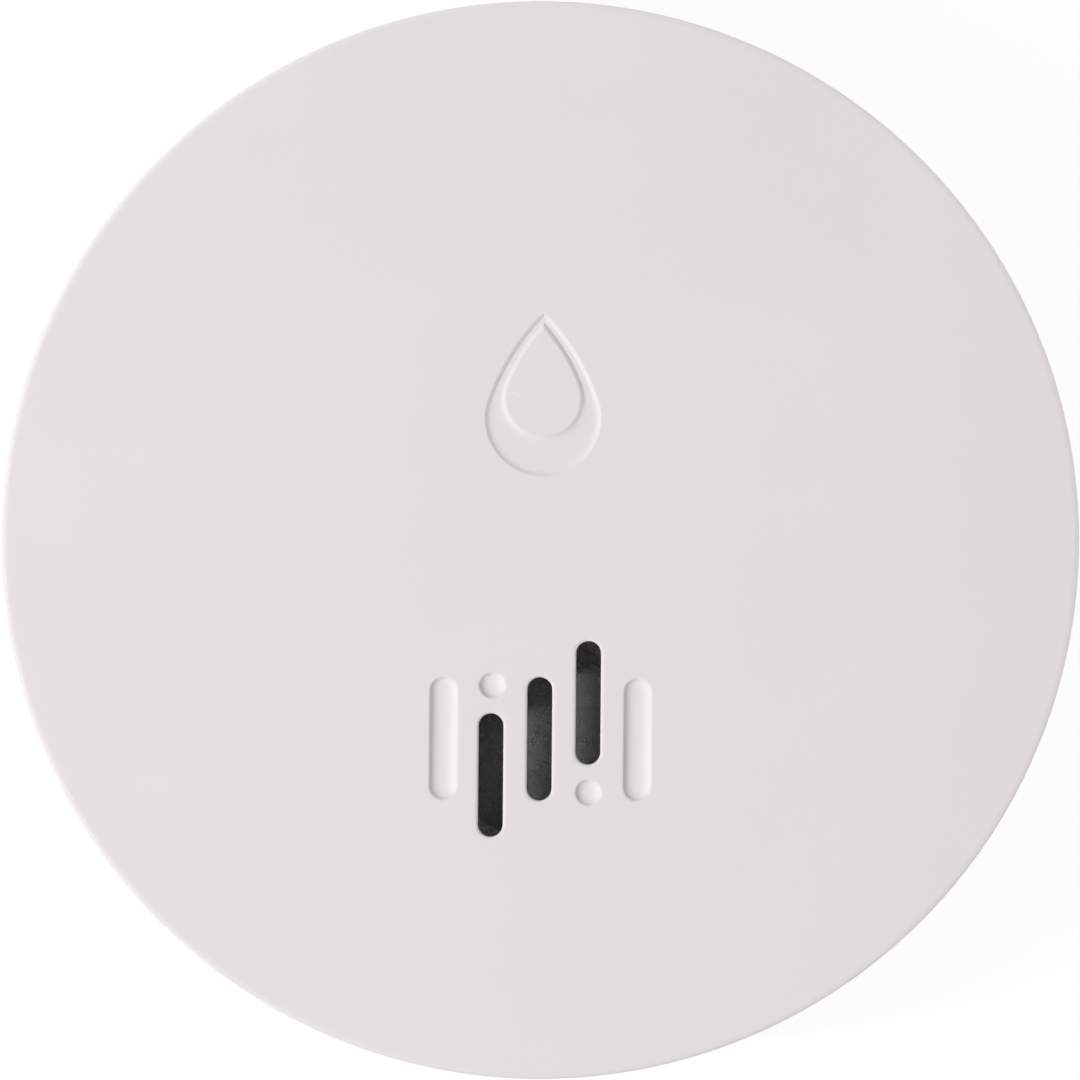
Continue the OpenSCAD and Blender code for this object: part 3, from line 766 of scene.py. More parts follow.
class DrawnLines(Effect):
    """The fine lines of rolled or drawn metal, with a faint tarnish."""

    name = "drawn_lines"
    inputs = {"Scale": 6000.0}
    outputs = ("Height", "Tarnish")

    @staticmethod
    def draw(g: Graph, given: bpy.types.NodeOutputs, out: Node) -> None:
        """Draws noise stretched along X, and patches.

        Args:
            g: The group's tree.
            given: What the group is given.
            out: The node that takes what the group gives.
        """
        turn = g.add("ShaderNodeMapping", Vector=given["Vector"], Scale=(0.05, 1.0, 1.0))
        patches = g.noise(given["Vector"], 300.0, detail=4.0, rough=0.6)
        g.into(out, Height=g.noise(turn.outputs["Vector"], given["Scale"], detail=3.0, rough=0.6),
               Tarnish=g.span(patches, 0.45, 0.7))


# Finishes


@dataclass(frozen=True)
class Finish:
    """A surface finish, made into one material."""

    name: str
    slot: str
    tone: Tone
    second: Tone
    rough: Span = (0.4, 0.6)
    relief: float = 0.004
    strength: float = 0.4
    specular: float = 0.5

    def material(self) -> Material:
        """Builds the material on first use.

        Returns:
            The material.
        """
        known = bpy.data.materials.get(self.name)
        if known is not None:
            return known
        material = bpy.data.materials.new(self.name)
        g = Graph.emptied(material)
        shader = g.add("ShaderNodeBsdfPrincipled", Specular_IOR_Level=self.specular)
        g.add("ShaderNodeOutputMaterial", Surface=shader.outputs["BSDF"])
        self.draw(g, shader, g.add("ShaderNodeTexCoord").outputs["Object"])
        material.diffuse_color = (*self.tone, 1.0)
        return material

    def draw(self, g: Graph, shader: Node, where: NodeSocket) -> None:
        """Draws the nodes of the finish.

        Args:
            g: The material's tree.
            shader: Its Principled shader.
            where: Object coordinates.
        """
        raise NotImplementedError

    def effect(self, g: Graph, kind: type[Effect], where: NodeSocket,
               **values: float) -> bpy.types.NodeOutputs:
        """Places a shared effect in the material.

        Args:
            g: The material's tree.
            kind: The effect.
            where: Object coordinates.
            values: Values of its inputs, with _ for a space in the input's name.

        Returns:
            What the effect gives.
        """
        return g.add("ShaderNodeGroup", {"node_tree": kind.group()}, Vector=where, **values).outputs

    def bump(self, g: Graph, shader: Node, height: NodeSocket) -> None:
        """Gives the shader the relief of this finish, which is in millimetres.

        Args:
            g: The material's tree.
            shader: Its Principled shader.
            height: Height over the surface.
        """
        node = g.add("ShaderNodeBump", Strength=self.strength, Distance=self.relief * MM, Height=height)
        g.into(shader, Normal=node.outputs["Normal"])


@dataclass(frozen=True)
class Moulded(Finish):
    """Moulded plastic or rubber with a fine matt grain and faint handling marks."""

    relief: float = 0.012
    strength: float = 0.35
    specular: float = 0.4
    grain: float = 5200.0
    clouds: float = 45.0
    smears: float = 40.5

    def draw(self, g: Graph, shader: Node, where: NodeSocket) -> None:
        """Draws grain, clouds of tone and smears of gloss.

        Args:
            g: The material's tree.
            shader: Its Principled shader.
            where: Object coordinates.
        """
        grain = self.effect(g, FineGrain, where, Scale=self.grain, Cloud_Scale=self.clouds)
        smears = self.effect(g, HandlingSmears, where, Scale=self.smears)
        g.into(shader, Base_Color=g.blend(grain["Clouds"], self.tone, self.second),
               Roughness=g.span(smears["Mask"], 0.0, 1.0, to=self.rough))
        self.bump(g, shader, grain["Height"])


@dataclass(frozen=True)
class Scuffed(Finish):
    """Dark plastic with a crumpled, rubbed skin."""

    relief: float = 0.12
    strength: float = 0.9
    specular: float = 0.4
    marks: Tone = (0.3, 0.3, 0.3)
    share: float = 0.5
    creases: float = 1600.0
    crease_depth: float = 0.9
    pits: float = 5200.0
    clouds: float = 1560.0

    def draw(self, g: Graph, shader: Node, where: NodeSocket) -> None:
        """Draws pits, pale creases and worn patches.

        Args:
            g: The material's tree.
            shader: Its Principled shader.
            where: Object coordinates.
        """
        lines = self.effect(g, RubbedCreases, where, Scale=self.creases)["Mask"]
        grain = self.effect(g, FineGrain, where, Scale=self.pits, Cloud_Scale=self.clouds)
        tone = g.blend(grain["Clouds"], self.tone, self.second)
        g.into(shader, Base_Color=g.blend(g.math("MULTIPLY", lines, self.share), tone, self.marks),
               Roughness=g.span(grain["Height"], 0.3, 0.7, to=self.rough))
        self.bump(g, shader, g.sum(grain["Height"], lines, shares=(1.0, self.crease_depth)))


@dataclass(frozen=True)
class Metal(Finish):
    """Plated, rolled or turned metal."""

    lines: float = 6000.0
    smears: float = 180.0

    def draw(self, g: Graph, shader: Node, where: NodeSocket) -> None:
        """Draws drawn lines and a faint tarnish.

        Args:
            g: The material's tree.
            shader: Its Principled shader.
            where: Object coordinates.
        """
        lines = self.effect(g, DrawnLines, where, Scale=self.lines)
        smears = self.effect(g, HandlingSmears, where, Scale=self.smears)
        g.into(shader, Base_Color=g.blend(lines["Tarnish"], self.tone, self.second), Metallic=1.0,
               Roughness=g.span(smears["Mask"], 0.0, 1.0, to=self.rough))
        self.bump(g, shader, lines["Height"])


@dataclass(frozen=True)
class Sleeve(Finish):
    """Printed foil sleeve of a cell, glossy, with fine rub marks."""

    strength: float = 0.08
    rubs: float = 700.0
    grain: float = 2500.0
    clouds: float = 160.0
    metallic: float = 0.35
    coat: float = 0.5
    coat_rough: float = 0.12

    def draw(self, g: Graph, shader: Node, where: NodeSocket) -> None:
        """Draws the print tone and rub marks under a clear coat.

        Args:
            g: The material's tree.
            shader: Its Principled shader.
            where: Object coordinates.
        """
        rubs = self.effect(g, HairScratches, where, Scale=self.rubs)
        grain = self.effect(g, FineGrain, where, Scale=self.grain, Cloud_Scale=self.clouds)
        g.into(shader, Base_Color=g.blend(grain["Clouds"], self.tone, self.second),
               Roughness=g.span(rubs["Mask"], 0.0, 1.0, to=self.rough), Metallic=self.metallic,
               Coat_Weight=self.coat, Coat_Roughness=self.coat_rough)
        self.bump(g, shader, grain["Height"])


@dataclass(frozen=True)
class BoardMask(Finish):
    """Green solder mask over copper tracks."""

    relief: float = 0.03
    strength: float = 0.5
    track: Tone = (0.05, 0.30, 0.15)
    pitch: float = 420.0
    track_edge: Span = (0.05, 0.09)
    smears: float = 90.0

    def draw(self, g: Graph, shader: Node, where: NodeSocket) -> None:
        """Draws tracks as raised lines between cells, under a glossy mask.

        Args:
            g: The material's tree.
            shader: Its Principled shader.
            where: Object coordinates.
        """
        cells = g.add("ShaderNodeTexVoronoi", {"feature": "DISTANCE_TO_EDGE"}, Vector=where,
                      Scale=self.pitch)
        tracks = g.span(cells.outputs["Distance"], *self.track_edge, to=(1.0, 0.0))
        smears = self.effect(g, HandlingSmears, where, Scale=self.smears)
        ground = g.blend(smears["Mask"], self.tone, self.second)
        g.into(shader, Base_Color=g.blend(tracks, ground, self.track),
               Roughness=g.span(smears["Mask"], 0.0, 1.0, to=self.rough))
        self.bump(g, shader, tracks)


@dataclass(frozen=True)
class Foam(Finish):
    """Open cell foam, with painted shade in the pits of its cells."""

    relief: float = 0.12
    strength: float = 0.8
    specular: float = 0.2
    cells: Span = (2600.0, 5980.0)
    heights: Span = (0.2, 0.9)

    def draw(self, g: Graph, shader: Node, where: NodeSocket) -> None:
        """Draws round cells of two sizes, with painted shade that darkens their low pits.

        Args:
            g: The material's tree.
            shader: Its Principled shader.
            where: Object coordinates.
        """
        big, small = (g.add("ShaderNodeTexVoronoi", Vector=where, Scale=cell) for cell in self.cells)
        height = g.sum(big.outputs["Distance"], small.outputs["Distance"], shares=(1.0, 0.5))
        # painted shade: the tone follows the bump height and is darker where the cells sink low
        tone = g.blend(g.span(height, *self.heights), self.tone, self.second)
        g.into(shader, Base_Color=tone, Roughness=g.span(height, *self.heights, to=self.rough))
        self.bump(g, shader, height)


SHELL_WHITE = Moulded("shell_white", "shell", (0.790, 0.749, 0.763), (0.780, 0.739, 0.753), (0.58, 0.70),
                      specular=0.25)
SEAL_GREY = Moulded("seal_silicone", "seal", (0.33, 0.35, 0.36), (0.27, 0.29, 0.30), (0.55, 0.75),
                    grain=3500.0)
BUTTON_GREY = Moulded("button_silicone", "button_rubber", (0.36, 0.38, 0.39), (0.31, 0.33, 0.34),
                      (0.5, 0.7), grain=3500.0)
CHIP_BLACK = Moulded("chip_epoxy", "chip_black", (0.02, 0.02, 0.022), (0.03, 0.03, 0.032), (0.4, 0.6),
                     grain=4200.0)
PALE_PART = Moulded("pale_ceramic", "pale_part", (0.80, 0.77, 0.66), (0.74, 0.70, 0.58), (0.3, 0.5))
FERRITE = Moulded("ferrite", "ferrite", (0.05, 0.05, 0.055), (0.08, 0.08, 0.085), (0.45, 0.7),
                  strength=0.6, grain=3000.0)
SOUNDER_SKIN = Scuffed("sounder_skin", "sounder_black", (0.173, 0.173, 0.176), (0.215, 0.215, 0.218),
                       (0.55, 0.8), specular=0.12, marks=(0.40, 0.40, 0.40), share=0.45)
SOUNDER_PLAIN = Scuffed("sounder_plain", "sounder_black", (0.05, 0.05, 0.052), (0.07, 0.07, 0.072),
                        (0.45, 0.65), marks=(0.12, 0.12, 0.12), share=0.3)
SCREW_STEEL = Metal("screw_zinc", "screw_steel", (0.62, 0.62, 0.63), (0.50, 0.50, 0.49), (0.28, 0.45))
CONTACT_NICKEL = Metal("contact_nickel", "contact_metal", (0.70, 0.69, 0.65), (0.60, 0.58, 0.53),
                       (0.2, 0.36))
PROBE_GOLD = Metal("probe_gold", "probe_metal", (0.80, 0.58, 0.28), (0.64, 0.45, 0.21), (0.2, 0.38),
                   lines=3500.0)
STANDOFF_BRASS = Metal("standoff_brass", "standoff_brass", (0.78, 0.58, 0.26), (0.66, 0.46, 0.20),
                       (0.25, 0.4))
CAN_TIN = Metal("can_tin", "can", (0.66, 0.66, 0.65), (0.56, 0.56, 0.55), (0.3, 0.45))
CAPACITOR_CAN = Metal("capacitor_can", "capacitor_can", (0.70, 0.71, 0.73), (0.6, 0.61, 0.63),
                      (0.25, 0.4))
WIRE_COPPER = Metal("wire_copper", "copper", (0.60, 0.24, 0.10), (0.48, 0.17, 0.07), (0.3, 0.45),
                    relief=0.03, lines=9000.0)
DISC_BRASS = Metal("disc_brass", "disc_brass", (0.78, 0.58, 0.26), (0.68, 0.48, 0.2), (0.3, 0.45))
CELL_BLUE = Sleeve("cell_sleeve", "cell_jacket", (0.03, 0.07, 0.17), (0.025, 0.055, 0.14), (0.25, 0.5))
CELL_BAND = Sleeve("cell_band", "cell_jacket", (0.46, 0.48, 0.50), (0.40, 0.42, 0.44), (0.25, 0.5))
CELL_STEEL = Metal("cell_steel", "contact_metal", (0.66, 0.66, 0.66), (0.55, 0.54, 0.52), (0.2, 0.35))
BOARD_GREEN = BoardMask("board_mask", "board", (0.018, 0.15, 0.07), (0.014, 0.12, 0.055), (0.25, 0.4))
FOAM_GREY = Foam("foam_grey", "foam", (0.16, 0.16, 0.162), (0.32, 0.32, 0.324), (0.8, 0.95))


def add_object(name: str, data: bpy.types.ID) -> Object:
    """Puts an object in the scene.

    Args:
        name: Its name.
        data: Its mesh, lamp or lens.

    Returns:
        The object.
    """
    made = bpy.data.objects.new(name, data)
    bpy.context.scene.collection.objects.link(made)
    return made


def fit_piece(name: str, work: Workpiece, finishes: Sequence[Finish], body: Body, nodes: Sequence[str],
              sharp: float = 38.0) -> None:
    """Ends a drawing and puts it in the scene in place of its plain solids.

    Args:
        name: Name of the piece.
        work: Its mesh in the making.
        finishes: Its finishes, in the order of the mesh's finish numbers.
        body: The body that it moves with.
        nodes: The plain solids that it stands for.
        sharp: Edges that bend by more than this angle, in degrees, stay sharp.
    """
    mesh = work.mesh(name, sharp)
    piece = add_object(name, mesh)
    for finish in finishes:
        mesh.materials.append(finish.material())
    even = piece.modifiers.new("even_shading", "WEIGHTED_NORMAL")
    even.keep_sharp = True
    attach(piece, body.value)
    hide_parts(*nodes)
    log.info("%s: %d faces on %s", name, len(mesh.polygons), body.value)


# Sub-assemblies


@dataclass
class TopCover:
    """White cover with the rounded edge, the grille and the drop mark."""

    radius: float = 44.0
    top: float = 22.1
    ceiling: float = 20.1
    waist: float = 14.0
    foot: float = 7.4
    wall: float = 2.0
    edge: float = 0.4
    lip: float = 0.2
    corner: float = 0.8
    crown: tuple[Step, ...] = ((1.4, 0.0), (1.0, 0.012), (0.7, 0.062), (0.45, 0.15), (0.25, 0.275),
                               (0.14, 0.38), (0.06, 0.5), (0.015, 0.66), (0.0, 0.85))
    grille_y: float = -16.2
    grille_shift: Place = (0.06, -0.04)
    slot: Span = (10.08, 2.02)
    slot_pitch: float = 3.96
    slot_step: float = 2.98
    slot_edge: float = 0.26
    slot_flare: float = 0.65
    flare_bend: Step = (0.12, 0.7)
    groove: Sizes = (10.1, 2.3, 0.5)
    dimple: Span = (2.16, 0.5)
    dimple_y: float = 4.35
    hollow_shift: float = 0.06
    hollow_reach: float = 0.97
    hollow_tilts: tuple[float, ...] = (0.5, 2, 16, 46, 52, 44, 35, 28, 23, 19, 15.5, 12, 9, 6.5, 4.5, 3,
                                       2, 1)
    soft_rim: float = 0.2
    drop_place: Place = (0.13, 9.95)
    drop: Sizes = (4.68, 8.63, 19.0)
    drop_start: float = 0.13
    inner_drop: Sizes = (3.33, 6.15, 16.0)
    inner_start: float = -0.33
    inner_rise: float = 1.6
    drop_depth: float = 0.22
    drop_wall: tuple[Sizes, ...] = ((0.0, 0.0, 0.0), (0.06, 0.06, 0.045), (0.11, 0.11, 0.15),
                                    (0.26, 0.27, 0.60), (0.31, 0.34, 0.74), (0.34, 0.44, 0.86),
                                    (0.36, 0.56, 0.935), (0.375, 0.70, 0.985), (0.39, 0.80, 1.0))
    narrowing: Span = (0.3, 2.6)
    collar: Sizes = (9.665, 10.865, 17.7)
    collar_edge: float = 0.1
    boss_ring: float = 36.5
    boss_angles: tuple[float, ...] = (90.0, 210.0, 330.0)
    boss: Sizes = (3.3, 9.4, 1.3)
    boss_edge: float = 0.2
    bore_edge: float = 0.15
    bore_top: float = 15.8
    root: float = 0.3
    segments: int = 288

    def hollow(self, width: float, depth: float) -> list[Step]:
        """Gives the section of a hollow with a soft rim, steep sides and a level bottom.

        Args:
            width: Width between the steep sides.
            depth: Depth of the bottom.

        Returns:
            Offset and height of each step, from the rim to the bottom.
        """
        drops = [math.tan(math.radians(tilt)) for tilt in self.hollow_tilts]
        stride = (self.soft_rim + self.hollow_reach * width / 2) / len(drops)
        path, sunk = [(self.soft_rim, self.top)], 0.0
        for i, drop in enumerate(drops, 1):
            sunk += depth * drop / sum(drops)
            path.append((self.soft_rim - i * stride, self.top - sunk))
        return path

    def soft_edge(self, across: float, deep: float) -> list[Step]:
        """Gives the steps of an edge that starts to bend slowly, with its size across and its depth."""
        return [(across * inward, self.top - deep * sunk) for inward, sunk in self.crown]

    def outer_wall(self, work: Workpiece) -> tuple[Ring, Ring]:
        """Draws the rim of the face, the side and the inside of the wall.

        Args:
            work: The mesh in the making.

        Returns:
            The ring at the face and the ring at the ceiling.
        """
        foot, lip, inner = self.foot, self.lip, -self.wall
        ceiling, corner = self.ceiling, self.corner
        path = self.soft_edge(-self.edge, self.edge)
        path += [(0.0, self.waist), (0.0, foot + lip), (-lip * BEND, foot + lip * BEND), (-lip, foot)]
        path += [(inner + lip, foot), (inner, foot + lip), (inner, ceiling - corner)]
        path += [(inner - corner * BEND, ceiling - corner * BEND), (inner - corner, ceiling)]
        rim = work.circle(MIDDLE, self.radius, self.segments)
        return rim, work.chain(rim, path)

    def grille(self, work: Workpiece) -> tuple[list[Ring], list[Ring]]:
        """Draws the slots, grooves and dimples.

        Args:
            work: The mesh in the making.

        Returns:
            The rings at the face and the rings at the ceiling.
        """
        face, ceiling = [], []
        x, y = self.grille_shift[0], self.grille_y + self.grille_shift[1]
        flare, (bend, rise) = self.slot_flare, self.flare_bend
        wall = self.soft_edge(self.slot_edge, self.slot_edge)
        wall += [(0.0, self.ceiling + flare), (bend, self.ceiling + flare * rise), (flare, self.ceiling)]
        for i in (-1, 0, 1):
            face.append(work.slot((x + i * self.slot_pitch, y + i * self.slot_step), *self.slot))
            ceiling.append(work.chain(face[-1], wall))
        middle = x + self.hollow_shift
        for s in (-1, 1):
            face.append(work.slot((middle + s * 2 * self.slot_pitch, y), *self.groove[:2]))
            work.fill(work.chain(face[-1], self.hollow(*self.groove[1:])))
            place = (middle + s * self.slot_pitch, y - s * self.dimple_y)
            face.append(work.circle(place, self.dimple[0] / 2, segments=48))
            work.fill(work.chain(face[-1], self.hollow(*self.dimple)))
        return face, ceiling

    def sloping_wall(self, work: Workpiece, rim: Ring, start: float, way: float) -> Ring:
        """Draws the sloping wall of a drop, which is narrow along the arms and wide around the round end.

        Args:
            work: The mesh in the making.
            rim: The drawn drop, which becomes the ring at the face.
            start: Offset of that ring.
            way: 1 for a wall that goes outwards, -1 for one that goes inwards.

        Returns:
            The ring at the foot of the wall.
        """
        ring, (low, high) = rim, (self.drop_place[1] + y for y in self.narrowing)
        for narrow, wide, sunk in self.drop_wall:
            ring = work.grow(ring, (0.0, 0.0)) if sunk else ring
            for vert, flat, out in zip(ring.verts, ring.outline, ring.outward):
                share = min(max((high - flat.y) / (high - low), 0.0), 1.0)
                reach = narrow + (wide - narrow) * share * share * (3 - 2 * share)
                vert.co = (*(flat + out * (start + way * reach)), self.top - self.drop_depth * sunk)
        return ring

    def drop_mark(self, work: Workpiece) -> Ring:
        """Draws the sunk band between the two drops and the raised middle.

        Args:
            work: The mesh in the making.

        Returns:
            The ring at the face.
        """
        x, y = self.drop_place
        rim = work.drop((x, y), *self.drop)
        foot = self.sloping_wall(work, rim, self.drop_start, -1.0)
        middle = work.drop((x, y + self.inner_rise), *self.inner_drop)
        work.fill(foot, self.sloping_wall(work, middle, self.inner_start, 1.0))
        work.fill(middle)
        return rim

    def inside(self, work: Workpiece) -> None:
        """Draws the collar over the sounder and the screw bosses.

        Args:
            work: The mesh in the making.
        """
        sunk = self.ceiling + self.root
        (low, high, foot), edge = self.collar, self.collar_edge
        ring, out = work.circle((0.0, self.grille_y), low, segments=120), high - low
        work.fill(ring, work.chain(ring, [(0.0, sunk), (0.0, foot + edge), (edge, foot), (out - edge, foot),
                                          (out, foot + edge), (out, sunk)]))
        (r, foot, bore), edge = self.boss, self.boss_edge
        profile = [(r, sunk), (r, foot + edge), (r - edge, foot), (bore + self.bore_edge, foot),
                   (bore, foot + edge), (bore, self.bore_top)]
        for angle in self.boss_angles:
            spot = Vector((self.boss_ring, 0.0)) @ Matrix.Rotation(math.radians(-angle), 2)
            work.turned(tuple(spot), profile, segments=48)

    def build(self) -> None:
        """Makes the cover."""
        work = Workpiece()
        face_rim, ceiling_rim = self.outer_wall(work)
        face_holes, ceiling_holes = self.grille(work)
        work.fill(face_rim, self.drop_mark(work), *face_holes)
        work.fill(ceiling_rim, *ceiling_holes)
        self.inside(work)
        fit_piece("cover_shell", work, [SHELL_WHITE], Body.HOUSING, ["top_cover"])


@dataclass
class BaseShell:
    """White base with the battery bay, the door opening and the seats for probes, screws and button."""

    foot: float = 1.5
    floor: float = 4.0
    radius: float = 43.7
    edge: float = 2.0
    seam: float = 7.0
    seam_edge: float = 0.2
    seal_floor: float = 6.2
    seal_width: float = 0.95
    lip: Sizes = (40.4, 41.8, 9.4)
    lip_edge: float = 0.25
    rim: float = 0.3
    opening: tuple[Place, Place] = ((-27.15, 4.063), (27.15, 30.263))
    opening_corner: float = 3.3
    pocket: tuple[float, float, float, float] = (17.0, 3.8, 0.263, 4.4)
    notch: Sizes = (29.963, 3.4, 2.75)
    bay: tuple[Place, Place] = ((-25.25, 5.963), (25.25, 28.363))
    bay_corner: float = 0.6
    bay_mouth: float = 0.15
    bay_round: float = 0.4
    bay_top: float = 14.8
    bay_wall: float = 1.4
    wall_corner: float = 1.2
    wall_edge: float = 0.3
    frame_top: float = 5.6
    frame_half: float = 28.55
    frame_y: Span = (-1.137, 30.1)
    frame_cut: float = 1.8
    screw_places: tuple[Place, ...] = ((0.0, 36.5), (31.61, -18.25), (-31.61, -18.25))
    screw_seat: Span = (2.6, 5.2)
    screw_bore: float = 1.55
    boss_r: float = 3.3
    probe_places: tuple[Place, ...] = ((31.95, 18.9557), (-31.95, 18.9557), (14.5157, -34.1968),
                                       (-14.5157, -34.1968))
    probe_seat: Span = (2.35, 2.3)
    probe_bore: float = 1.5
    button_place: Place = (0.0, -32.5)
    button_hole: float = 3.7
    segments: int = 288

    def mouth(self) -> list[Step]:
        """Gives the steps of the rounded edge of an opening in the underside."""
        return rounded(self.rim, (0.0, self.foot), 5, hole=True, up=True)

    def outer_wall(self, work: Workpiece) -> tuple[Ring, Ring]:
        """Draws the rounded foot, the side, the seal groove and the lip.

        Args:
            work: The mesh in the making.

        Returns:
            The ring at the underside and the ring at the floor inside.
        """
        low, high, top = self.lip[0] - self.radius, self.lip[1] - self.radius, self.lip[2]
        seam, bevel, edge, groove = self.seam, self.seam_edge, self.lip_edge, high + self.seal_width
        path = rounded(self.edge, (0.0, self.foot), 12, up=True)
        path += [(0.0, seam - bevel), (-bevel * BEND, seam - bevel * BEND), (-bevel, seam), (groove, seam)]
        path += [(groove, self.seal_floor), (high, self.seal_floor), (high, top - edge), (high - edge, top)]
        path += [(low + edge, top), (low, top - edge), (low, self.floor)]
        rim = work.circle(MIDDLE, self.radius, self.segments)
        return rim, work.chain(rim, path)

    def opening_outline(self, work: Workpiece) -> tuple[Ring, list[int], list[int]]:
        """Draws the outline of the door opening with its hinge pockets and finger notch.

        Args:
            work: The mesh in the making.

        Returns:
            The ring, and the numbers of the vertices where the pockets and the notch start and end.
        """
        ((x0, y0), (x1, y1)), r = self.opening, self.opening_corner
        mid, half, back, _ = self.pocket
        notch_y, notch_r, _ = self.notch
        reach = math.sqrt(notch_r ** 2 - (y1 - notch_y) ** 2)
        sweep = math.degrees(2 * math.atan2(reach, y1 - notch_y))
        pen, pockets = work.pen(x0 + r, y0), []
        for s in (-1, 1):
            pen.line(s * mid - half, y0, pieces=2)
            pockets.append(len(pen.trail) - 1)
            pen.line(s * mid - half, back).line(s * mid + half, back, pieces=2).line(s * mid + half, y0)
            pockets.append(len(pen.trail) - 1)
        pen.line(x1 - r, y0, pieces=2).turn(x1 - r, y0 + r, 90, steps=10)
        pen.line(x1, y1 - r, pieces=4).turn(x1 - r, y1 - r, 90, steps=10)
        pen.line(reach, y1, pieces=3)
        notch = [len(pen.trail) - 1]
        pen.turn(0.0, notch_y, sweep, steps=24)
        notch.append(len(pen.trail) - 1)
        pen.line(x0 + r, y1, pieces=3).turn(x0 + r, y1 - r, 90, steps=10)
        pen.line(x0, y0 + r, pieces=4).turn(x0 + r, y0 + r, 90, steps=10)
        return work.ring(pen.close()), pockets, notch

    def door_seat(self, work: Workpiece) -> Ring:
        """Draws the walls of the door opening, its pockets and notch, the ledge and the battery bay.

        Args:
            work: The mesh in the making.

        Returns:
            The ring at the underside.
        """
        rim, pockets, notch = self.opening_outline(work)
        ring = work.chain(rim, self.mouth() + [(0.0, self.notch[2])])
        ring, lobe = work.part_off(ring, *notch)
        work.fill(lobe)
        ring = work.grow(ring, (0.0, self.floor))
        for first, last in (pockets[2:], pockets[:2]):
            ring, lobe = work.part_off(ring, first, last)
            work.fill(work.grow(lobe, (0.0, self.pocket[3])))
        floor, top, mouth, bend = self.floor, self.bay_top, self.bay_mouth, self.bay_round
        bay = work.panel(*self.bay, self.bay_corner, steps=4)
        work.fill(work.chain(bay, [(mouth, floor), (0.0, floor + mouth), (0.0, top - bend), (-bend, top)]))
        work.fill(ring, bay)
        return rim

    def seats(self, work: Workpiece) -> tuple[list[Ring], list[Ring]]:
        """Draws the holes for the screws, the probes and the button.

        Args:
            work: The mesh in the making.

        Returns:
            The rings at the underside and the rings at the floor inside.
        """
        under, inside = [], []
        (r, seat), top = self.screw_seat, self.lip[2]
        bore, boss = self.screw_bore - r, self.boss_r - r
        path = self.mouth() + [(0.0, seat), (bore, seat), (bore, top), (boss, top), (boss, self.floor)]
        for place in self.screw_places:
            under.append(work.circle(place, r, segments=64))
            inside.append(work.chain(under[-1], path))
        r, seat = self.probe_seat
        bore = self.probe_bore - r
        path = [(0.0, self.foot), (0.0, seat), (bore, seat), (bore, self.floor)]
        for place in self.probe_places:
            under.append(work.circle(place, r, segments=48))
            inside.append(work.chain(under[-1], path))
        under.append(work.circle(self.button_place, self.button_hole, segments=96))
        inside.append(work.chain(under[-1], self.mouth() + [(0.0, self.floor)]))
        return under, inside

    def bay_box(self, work: Workpiece) -> Ring:
        """Draws the outside of the battery bay, which stands on the floor.

        Args:
            work: The mesh in the making.

        Returns:
            The ring at the floor.
        """
        x, (y0, y1), cut = self.frame_half, self.frame_y, self.frame_cut
        pen = work.pen(-x, y0).line(x, y0).line(x, y1 - cut)
        pen.line(x - cut, y1).line(cut - x, y1).line(-x, y1 - cut)
        frame_ring = work.ring(pen.close())
        (x0, y0), (x1, y1) = self.bay
        wall, edge = self.bay_wall, self.wall_edge
        walls = work.panel((x0 - wall, y0 - wall), (x1 + wall, y1 + wall), self.wall_corner, steps=4)
        top = self.bay_top + wall
        work.fill(work.chain(walls, [(0.0, self.frame_top), (0.0, top - edge), (-edge, top)]))
        work.fill(work.chain(frame_ring, [(0.0, self.floor), (0.0, self.frame_top)]), walls)
        return frame_ring

    def build(self) -> None:
        """Makes the base."""
        work = Workpiece()
        under_rim, floor_rim = self.outer_wall(work)
        under, inside = self.seats(work)
        work.fill(under_rim, self.door_seat(work), *under)
        work.fill(floor_rim, self.bay_box(work), *inside)
        fit_piece("base_shell", work, [SHELL_WHITE], Body.HOUSING, ["base"])


